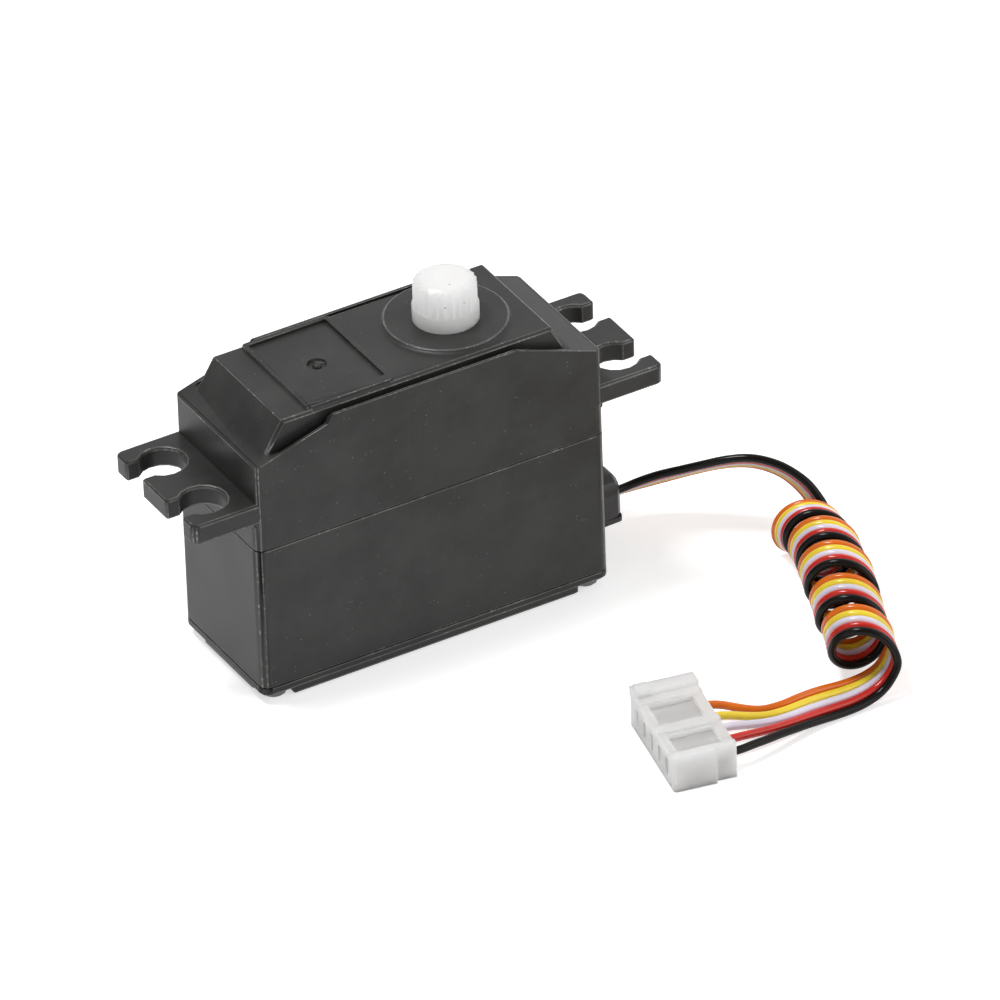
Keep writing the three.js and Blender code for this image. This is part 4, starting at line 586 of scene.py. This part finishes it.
def clear_nylon(name, colour, specks=0.0):
    """Unfilled nylon: milky, lets light through, with a faint grain and dark specks."""
    material, tree, shader = new_material(
        name, Subsurface_Weight=0.9, Subsurface_Radius=(0.0016, 0.0017, 0.0018),
        Subsurface_Scale=3.0, Specular_IOR_Level=0.4,
    )
    place = object_place(tree)
    surface = placed(
        tree, moulded_grain(), {"Vector": place, "Grain": 3500.0, "Specks": 1100.0},
    )
    base = blend_colour(tree, surface.outputs["Tone"], tinted(colour, 0.93), colour)
    if specks:
        strength = math_node(tree, "MULTIPLY", surface.outputs["Specks"], specks)
        base = blend_colour(tree, strength, base, tinted(colour, 0.45))
    tree.links.new(base, shader.inputs["Base Color"])
    rough = math_node(
        tree, "ADD", math_node(tree, "MULTIPLY", surface.outputs["Tone"], 0.12), 0.28,
    )
    tree.links.new(rough, shader.inputs["Roughness"])
    link_bump(tree, shader, surface.outputs["Height"], 0.000012)
    return material


def finish_solid(node, material):
    """Gives a solid that stays its worked material."""
    piece = frame["nodes"][node]
    piece.data.materials.clear()
    piece.data.materials.append(material)


# Pieces


class SERVO_OT_case(Operator):
    """Rounds the edges of the three case mouldings and gives them their grain"""

    bl_idname = "servo.case"
    bl_label = "Case"

    def execute(self, context):
        sizes, colours = context.scene.servo_sizes, context.scene.servo_colours
        skin = moulded_plastic(
            "Case plastic", tuple(colours.case), roughness=0.4, grain=7000.0, specks=0.6,
            speck_colour=(0.25, 0.25, 0.24), tone=0.25, rubbed=0.1, Specular_IOR_Level=0.28,
        )
        # Case edges: a painted highlight on the rounds, with rubbed dashes of wear
        edges = worn_edge_with_painted_highlight("Case edges", tuple(colours.case), worn=(0.5, 0.5, 0.47))
        for node in ("top_case", "middle_case", "bottom_cover"):
            piece = refined(node, node + "_moulding", sizes.case_edge)
            piece.data.materials.append(skin)
            piece.data.materials.append(edges)
        return {"FINISHED"}


class SERVO_OT_output(Operator):
    """Finishes the output gear with its splined shaft in milky nylon"""

    bl_idname = "servo.output"
    bl_label = "Output gear and shaft"

    def execute(self, context):
        sizes, colours = context.scene.servo_sizes, context.scene.servo_colours
        nylon = clear_nylon("Output nylon", tuple(colours.nylon), specks=0.8)
        piece = refined("output_gear", "output_shaft", sizes.output_edge, angle=24, smooth=24)
        piece.data.materials.append(nylon)
        piece.data.materials.append(nylon)
        return {"FINISHED"}


class SERVO_OT_gears(Operator):
    """Finishes the gears and their axle inside the case"""

    bl_idname = "servo.gears"
    bl_label = "Gear train"

    def execute(self, context):
        acetal = clear_nylon("Gear acetal", tuple(context.scene.servo_colours.gears))
        for node in ("first_gear", "second_gear", "third_gear"):
            finish_solid(node, acetal)
        steel = worked_metal(
            "Ground steel", (0.62, 0.63, 0.65), roughness=0.25, stretch=(1, 1, 0.05),
        )
        for node in ("middle_axle", "motor_shaft"):
            finish_solid(node, steel)
        finish_solid("motor_pinion", worked_metal("Pinion brass", (0.78, 0.6, 0.3)))
        return {"FINISHED"}


class SERVO_OT_motor(Operator):
    """Finishes the motor's can, magnets, rotor, brushes, terminals and end cap"""

    bl_idname = "servo.motor"
    bl_label = "Motor"

    def execute(self, context):
        plated = worked_metal(
            "Plated steel", (0.58, 0.58, 0.57), roughness=0.28, stretch=(1, 1, 0.02),
            scale=1800.0,
        )
        finish_solid("motor_can", plated)
        stacked = worked_metal(
            "Stacked steel", (0.42, 0.42, 0.43), roughness=0.4, stretch=(0.05, 0.05, 1),
            scale=3500.0,
        )
        finish_solid("rotor_core", stacked)
        sintered = worked_metal("Sintered bronze", (0.66, 0.46, 0.24), roughness=0.45)
        finish_solid("motor_bushing", sintered)
        copper = wound_copper("Wound copper")
        for number in (1, 2, 3):
            finish_solid(f"rotor_winding_{number}", copper)
        finish_solid("commutator", worked_metal("Copper bars", (0.8, 0.42, 0.24)))
        spring = worked_metal("Spring bronze", (0.74, 0.52, 0.26), stretch=(1, 0.05, 1))
        ferrite = moulded_plastic(
            "Ferrite", (0.045, 0.043, 0.042), roughness=0.62, depth=0.00002, grain=3000.0,
        )
        for number in (1, 2):
            finish_solid(f"motor_magnet_{number}", ferrite)
            finish_solid(f"motor_brush_{number}", spring)
            finish_solid(f"motor_terminal_{number}", spring)
        cap = moulded_plastic(
            "End cap nylon", (0.72, 0.72, 0.69), roughness=0.4, grain=4000.0, tone=0.05,
        )
        finish_solid("motor_end_cap", cap)
        return {"FINISHED"}


class SERVO_OT_potentiometer(Operator):
    """Finishes the potentiometer that senses the output's angle"""

    bl_idname = "servo.potentiometer"
    bl_label = "Potentiometer"

    def execute(self, context):
        phenolic = moulded_plastic(
            "Phenolic", (0.1, 0.055, 0.03), depth=0.000015, grain=2500.0, tone=0.3,
        )
        finish_solid("pot_body", phenolic)
        finish_solid("pot_cover", worked_metal("Tinned plate", (0.66, 0.66, 0.64)))
        turned = worked_metal("Turned steel", (0.6, 0.6, 0.6), roughness=0.28)
        finish_solid("pot_shaft", turned)
        carbon = moulded_plastic("Carbon track", (0.03, 0.03, 0.032), roughness=0.55)
        finish_solid("pot_track", carbon)
        bronze = worked_metal(
            "Wiper bronze", (0.78, 0.55, 0.27), roughness=0.28, stretch=(0.05, 1, 1),
        )
        for node in ("pot_wiper", "pot_terminal_1", "pot_terminal_2", "pot_terminal_3"):
            finish_solid(node, bronze)
        return {"FINISHED"}


class SERVO_OT_screws(Operator):
    """Finishes the four case screws and the two motor screws"""

    bl_idname = "servo.screws"
    bl_label = "Screws"

    def execute(self, context):
        dark = worked_metal(
            "Dark plated steel", (0.16, 0.16, 0.17), roughness=0.38, stretch=(1, 1, 0.2),
        )
        for number in (1, 2, 3, 4):
            finish_solid(f"case_screw_{number}", dark)
        for number in (1, 2):
            finish_solid(f"motor_screw_{number}", dark)
        return {"FINISHED"}


class SERVO_OT_grommet(Operator):
    """Finishes the soft cable grommet"""

    bl_idname = "servo.grommet"
    bl_label = "Cable grommet"

    def execute(self, context):
        sizes, colours = context.scene.servo_sizes, context.scene.servo_colours
        rubber = moulded_plastic(
            "Grommet rubber", tuple(colours.rubber), roughness=0.42, depth=0.000016,
            grain=3000.0, specks=0.25,
        )
        piece = refined("cable_grommet", "grommet", sizes.grommet_edge, segments=3, held=True)
        piece.data.materials.append(rubber)
        piece.data.materials.append(rubber)
        return {"FINISHED"}


def wire_material(context, colour):
    """The vinyl of one wire, made once; black is the dullest."""
    name = f"Vinyl {colour}"
    if name in bpy.data.materials:
        return bpy.data.materials[name]
    gloss = 0.12 if colour == "black" else 0.35
    return vinyl(name, tuple(getattr(context.scene.servo_colours, colour)), gloss)


class SERVO_OT_inner_leads(Operator):
    """Finishes the leads inside the case"""

    bl_idname = "servo.inner_leads"
    bl_label = "Leads inside the case"

    def execute(self, context):
        for colour in COLOURS:
            finish_solid(f"lead_{colour}", wire_material(context, colour))
        return {"FINISHED"}


class SERVO_OT_plug(Operator):
    """Finishes the plug housing and its five contacts"""

    bl_idname = "servo.plug"
    bl_label = "Plug"

    def execute(self, context):
        sizes, colours = context.scene.servo_sizes, context.scene.servo_colours
        nylon = clear_nylon("Plug nylon", tuple(colours.plug))
        piece = refined(
            "plug_housing", "plug", sizes.plug_edge, segments=3, short=0, held=True,
        )
        piece.data.materials.append(nylon)
        piece.data.materials.append(nylon)
        tinned = worked_metal("Tinned bronze", (0.72, 0.68, 0.6), stretch=(0.05, 1, 1))
        for colour in COLOURS:
            finish_solid(f"contact_{colour}", tinned)
        return {"FINISHED"}


# Route of the lead


def keyed(values, angle):
    """A size given for each whole turn, at any angle, as a column.

    Between two turns it is the cubic that meets their values, with the slope at each turn
    half the difference of the values on its two sides.
    """
    full = np.array([values[0], *values, values[-1]], float)
    turn = np.asarray(angle, float) / (2 * np.pi)
    span = np.clip(turn.astype(int), 0, len(values) - 2)
    w = turn - span
    a, b, c, d = (full[span + k] for k in range(4))
    value = b + (
        w * (c - a) + w**2 * (2 * a - 5 * b + 4 * c - d) + w**3 * (3 * (b - c) + d - a)
    ) / 2
    return value[..., None]


def level_axis(yaw):
    """A level direction: against Y at yaw 0, and towards -X as the yaw grows."""
    return np.concatenate([-np.sin(yaw), -np.cos(yaw), np.zeros_like(yaw)], axis=-1)


def coil_across(angle):
    """Across the ribbon, from orange to black: the turn's own axis, yawed and pitched up."""
    pitch = keyed(COIL_PITCH, angle)
    return (
        np.cos(pitch) * level_axis(COIL_YAW + keyed(COIL_TURN, angle)) + np.sin(pitch) * UP
    )


def coil_place(angle):
    """The ribbon's middle: a circle about an axis that moves, pitches and yaws as it turns.

    The circle runs from the direction above the axis towards the direction beside it. Its
    middle is high enough for the lower edge of the tilted ribbon to clear the floor.
    """
    across, pitch = coil_across(angle), keyed(COIL_PITCH, angle)
    above = unit(UP - across[..., 2:] * across)
    beside = np.cross(above, across)
    line = level_axis(np.array([COIL_YAW]))
    radius = keyed(COIL_RADIUS, angle)
    height = (
        radius * np.cos(pitch) + RIBBON_REACH * np.abs(np.sin(pitch)) + WIRE_REACH
        + keyed(COIL_LIFT, angle)
    )
    turned = np.asarray(angle, float)[..., None]
    return (
        np.array([*COIL_MIDDLE, 0]) + height * UP + keyed(COIL_ALONG, angle) * line
        + keyed(COIL_ASIDE, angle) * np.cross(UP, line)
        + radius * (np.cos(turned) * above + np.sin(turned) * beside)
    )


def plug_place(x, y, z):
    """A point in the plug's own frame: x towards the wires, y from black to orange."""
    c, s = math.cos(PLUG_YAW), math.sin(PLUG_YAW)
    return np.array(PLUG_PLACE) + np.array([x * c - y * s, x * s + y * c, z])


def stretch_stations():
    """From the grommet to the coil: place, direction from orange to black, and spread."""
    return [
        ((22.3, 0, 4.3), SLOT, 1), (GROMMET_TIP, SLOT, 1),
        ((24.34, -0.14, 4.4), (-0.1, -0.76, 0.64), 1),
        ((25.74, -0.47, 4.63), (-0.25, -0.71, 0.66), 1),
        ((27.7, -1.31, 5.14), (-0.46, -0.61, 0.64), 1),
        ((29.53, -2.47, 5.77), (-0.57, -0.56, 0.59), 1),
        ((31.27, -3.78, 6.47), (-0.61, -0.54, 0.58), 1),
        ((32.96, -5.15, 7.08), (-0.56, -0.54, 0.63), 1),
        ((34.62, -6.57, 7.32), (-0.46, -0.56, 0.69), 1),
        ((36.16, -8.04, 6.94), (-0.34, -0.63, 0.7), 1),
        ((37.07, -9.03, 6.34), (-0.27, -0.68, 0.68), 1),
        ((37.82, -10, 5.52), (-0.2, -0.72, 0.66), 1),
        ((38.12, -10.48, 5.05), (-0.18, -0.74, 0.65), 1),
    ]


def tail_stations(spacing):
    """From the coil to the contacts in the plug, where the wires spread to its pitch."""
    across_plug = (math.sin(PLUG_YAW), -math.cos(PLUG_YAW), 0)
    at_contact = PLUG_PITCH / spacing
    return [
        ((31.35, -35.56, 1.9), (-0.21, -0.95, 0.23), 1),
        ((30.33, -35.64, 1.24), (-0.11, -0.98, 0.15), 1),
        ((29.13, -35.71, 0.84), (-0.02, -1, 0.05), 1),
        ((27.14, -35.81, 0.68), (0.04, -0.99, -0.1), 1),
        ((25.05, -35.89, 0.82), (0.04, -0.98, -0.2), 1),
        ((22.94, -35.97, 0.96), (0.02, -0.98, -0.2), 0.98),
        ((20.85, -36.05, 0.99), (-0.01, -1, -0.07), 1.03),
        ((18.82, -36, 1.07), (-0.07, -1, 0.06), 1.3),
        ((16.87, -35.73, 1.32), (-0.13, -0.99, 0.05), 1.75),
        ((14.95, -35.32, 1.61), (-0.18, -0.98, 0.01), 2.16),
        (plug_place(3.4, 0, CAVITY_HEIGHT), across_plug, at_contact),
        (plug_place(2.4, 0, CAVITY_HEIGHT), across_plug, at_contact),
    ]


def through(stations, samples):
    """Rows of place, direction and spread along a smooth curve through stations."""
    places, directions, spreads = zip(*stations)
    steps = np.linspace(0, len(stations) - 1, samples)
    return np.column_stack([
        smooth_curve(places, samples), smooth_curve(directions, samples, True),
        np.interp(steps, np.arange(len(stations)), spreads),
    ])


def eased(rows, step, rounds):
    """The rows at even steps along their path, each then averaged with its neighbours."""
    along = np.r_[0, np.cumsum(np.linalg.norm(np.diff(rows[:, :3], axis=0), axis=1))]
    places = np.linspace(0, along[-1], int(along[-1] / step) + 1)
    rows = np.column_stack([np.interp(places, along, column) for column in rows.T])
    for _ in range(rounds):
        rows[1:-1] = (rows[:-2] + 2 * rows[1:-1] + rows[2:]) / 4
    return rows


def wire_route(number, spacing):
    """Places and across directions along one wire, from the grommet to its contact, in mm."""
    turns = np.linspace(COIL_FROM, COIL_TO, COIL_POINTS)
    coil = np.column_stack([coil_place(turns), coil_across(turns), np.ones(len(turns))])
    stretch = through(stretch_stations(), CURVE_POINTS)
    tail = through(tail_stations(spacing), CURVE_POINTS)
    rows = eased(np.concatenate([stretch, coil, tail]), ROUTE_STEP, ROUTE_ROUNDS)
    middle, across, spread = rows[:, :3], rows[:, 3:6], rows[:, 6:]
    ahead = unit(np.gradient(middle, axis=0))
    across = unit(across - np.sum(across * ahead, axis=1, keepdims=True) * ahead)
    return middle + (2 - number) * spacing * spread * across, across


class SERVO_OT_lead(Operator):
    """Lays the five wires of the free lead from the grommet through the coil to the plug"""

    bl_idname = "servo.lead"
    bl_label = "Ribbon lead"

    def execute(self, context):
        sizes = context.scene.servo_sizes
        for number, colour in enumerate(COLOURS):
            path, across = wire_route(number, sizes.spacing / MM)
            path = path * MM
            piece = swept_tube(f"wire_{colour}", path, across, sizes.wire / 2)
            piece.data.materials.append(wire_material(context, colour))
            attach(piece, "case")
            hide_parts("ribbon_stretch", "ribbon_coil", "ribbon_tail")
        return {"FINISHED"}


# Stage


def area_light(name, place, size, watts):
    """A soft square light that looks at the servo."""
    light = bpy.data.lights.new(name, "AREA")
    light.shape = "SQUARE"
    light.size = size
    light.energy = watts
    piece = linked_object(name, light)
    piece.location = place
    ahead = Vector(LIGHT_AIM) - Vector(place)
    piece.rotation_euler = ahead.to_track_quat("-Z", "Y").to_euler()


def place_camera(scene, studio):
    """Back is the direction from the target to the camera; right is level before the roll."""
    cos_e, sin_e = math.cos(studio.elevation), math.sin(studio.elevation)
    back = Vector((
        math.sin(studio.azimuth) * cos_e, -math.cos(studio.azimuth) * cos_e, sin_e,
    ))
    right = Vector(UP).cross(back).normalized()
    up = back.cross(right)
    cos_r, sin_r = math.cos(studio.roll), math.sin(studio.roll)
    columns = (right * cos_r + up * sin_r, up * cos_r - right * sin_r, back)
    turn = Matrix(columns).transposed().to_4x4()
    turn.translation = Vector(studio.target) + back * studio.distance
    camera = linked_object("Camera", bpy.data.cameras.new("Camera"))
    camera.data.lens = studio.lens
    camera.data.sensor_width = 36
    camera.data.clip_start = 0.1
    camera.data.clip_end = 20
    camera.matrix_world = turn
    scene.camera = camera


def seen_rays(tree):
    """One for camera, glossy and transmission rays, else nothing."""
    path = tree.nodes.new("ShaderNodeLightPath")
    seen = math_node(tree, "ADD", path.outputs["Is Camera Ray"], path.outputs["Is Glossy Ray"])
    return math_node(tree, "ADD", seen, path.outputs["Is Transmission Ray"], clamp=True)


def light_sky(scene, studio):
    """A white surround that dims overhead and to the left, and lights the servo softly."""
    world = bpy.data.worlds.new("Studio")
    world.use_nodes = True
    scene.world = world
    tree = world.node_tree
    background = next(n for n in tree.nodes if n.type == "BACKGROUND")
    direction = add_node(tree, "ShaderNodeTexCoord").outputs["Generated"]
    side = add_node(
        tree, "ShaderNodeVectorMath", {0: direction, 1: SKY_DIRECTION}, operation="DOT_PRODUCT",
    ).outputs["Value"]
    colour = blend_colour(tree, ramp(tree, side, SKY_START, SKY_END), SKY_DIM, (1, 1, 1))
    tree.links.new(colour, background.inputs["Color"])
    extra = math_node(tree, "MULTIPLY", seen_rays(tree), 1 - studio.sky)
    strength = math_node(tree, "ADD", extra, studio.sky)
    tree.links.new(strength, background.inputs["Strength"])


def lay_floor():
    """A wide plain floor that keeps the shadow."""
    corners = np.array([[-1, -1], [1, -1], [1, 1], [-1, 1]]) * FLOOR_REACH
    points = np.column_stack([corners, np.full(4, -FLOOR_DROP)])
    floor = mesh_object("floor", points, [[0, 1, 2, 3]])
    material, tree, shader = new_material("Pale floor", Roughness=0.9)
    cloud = ramp(tree, noise(tree, object_place(tree), 12.0), 0.2, 0.8)
    base = blend_colour(tree, cloud, (0.8, 0.8, 0.8), (0.82, 0.82, 0.82))
    tree.links.new(base, shader.inputs["Base Color"])
    shader.inputs["Emission Color"].default_value = (1, 1, 1, 1)
    glow = math_node(tree, "MULTIPLY", seen_rays(tree), FLOOR_GLOW)
    tree.links.new(glow, shader.inputs["Emission Strength"])
    floor.data.materials.append(material)


class SERVO_OT_studio(Operator):
    """Sets the camera, the soft lights and the pale floor"""

    bl_idname = "servo.studio"
    bl_label = "Studio"

    def execute(self, context):
        scene, studio = context.scene, context.scene.servo_studio
        place_camera(scene, studio)
        area_light("Key", (-0.16, 0.1, 0.58), size=0.14, watts=studio.key)
        area_light("Left fill", (-0.52, -0.16, 0.22), size=0.4, watts=studio.fill * 0.5)
        area_light("Right fill", (0.3, -0.45, 0.3), size=0.4, watts=studio.fill)
        light_sky(scene, studio)
        lay_floor()
        scene.view_settings.view_transform = "Standard"
        return {"FINISHED"}


# Add-on


OPERATORS = (
    SERVO_OT_studio, SERVO_OT_case, SERVO_OT_output, SERVO_OT_gears, SERVO_OT_motor,
    SERVO_OT_potentiometer, SERVO_OT_screws, SERVO_OT_grommet, SERVO_OT_inner_leads,
    SERVO_OT_plug, SERVO_OT_lead,
)


class SERVO_PT_panel(Panel):
    """Lists the servo's pieces, sizes and colours"""

    bl_idname = "SERVO_PT_panel"
    bl_label = "Steering Servo"
    bl_space_type = "VIEW_3D"
    bl_region_type = "UI"
    bl_category = "Servo"

    def draw(self, context):
        layout = self.layout
        for operator in OPERATORS:
            layout.operator(operator.bl_idname)
        for settings in (
            context.scene.servo_sizes, context.scene.servo_colours, context.scene.servo_studio,
        ):
            box = layout.box()
            for key in type(settings).__annotations__:
                box.prop(settings, key)


CLASSES = (ServoSizes, ServoColours, StudioSettings, *OPERATORS, SERVO_PT_panel)


def register():
    """Registers the classes and puts the settings on the scene."""
    for item in CLASSES:
        bpy.utils.register_class(item)
    bpy.types.Scene.servo_sizes = PointerProperty(type=ServoSizes)
    bpy.types.Scene.servo_colours = PointerProperty(type=ServoColours)
    bpy.types.Scene.servo_studio = PointerProperty(type=StudioSettings)


def unregister():
    """Takes the settings off the scene and unregisters the classes."""
    del bpy.types.Scene.servo_studio
    del bpy.types.Scene.servo_colours
    del bpy.types.Scene.servo_sizes
    for item in reversed(CLASSES):
        bpy.utils.unregister_class(item)


def clear_start_objects():
    """Removes what a new file starts with and keeps the frame."""
    kept = set(frame["nodes"].values()) | set(frame["bodies"].values())
    for item in [item for item in bpy.data.objects if item not in kept]:
        bpy.data.objects.remove(item)


def main():
    """Makes every piece in order."""
    clear_start_objects()
    register()
    for operator in OPERATORS:
        group, name = operator.bl_idname.split(".")
        getattr(getattr(bpy.ops, group), name)()


if __name__ == "__main__":
    main()
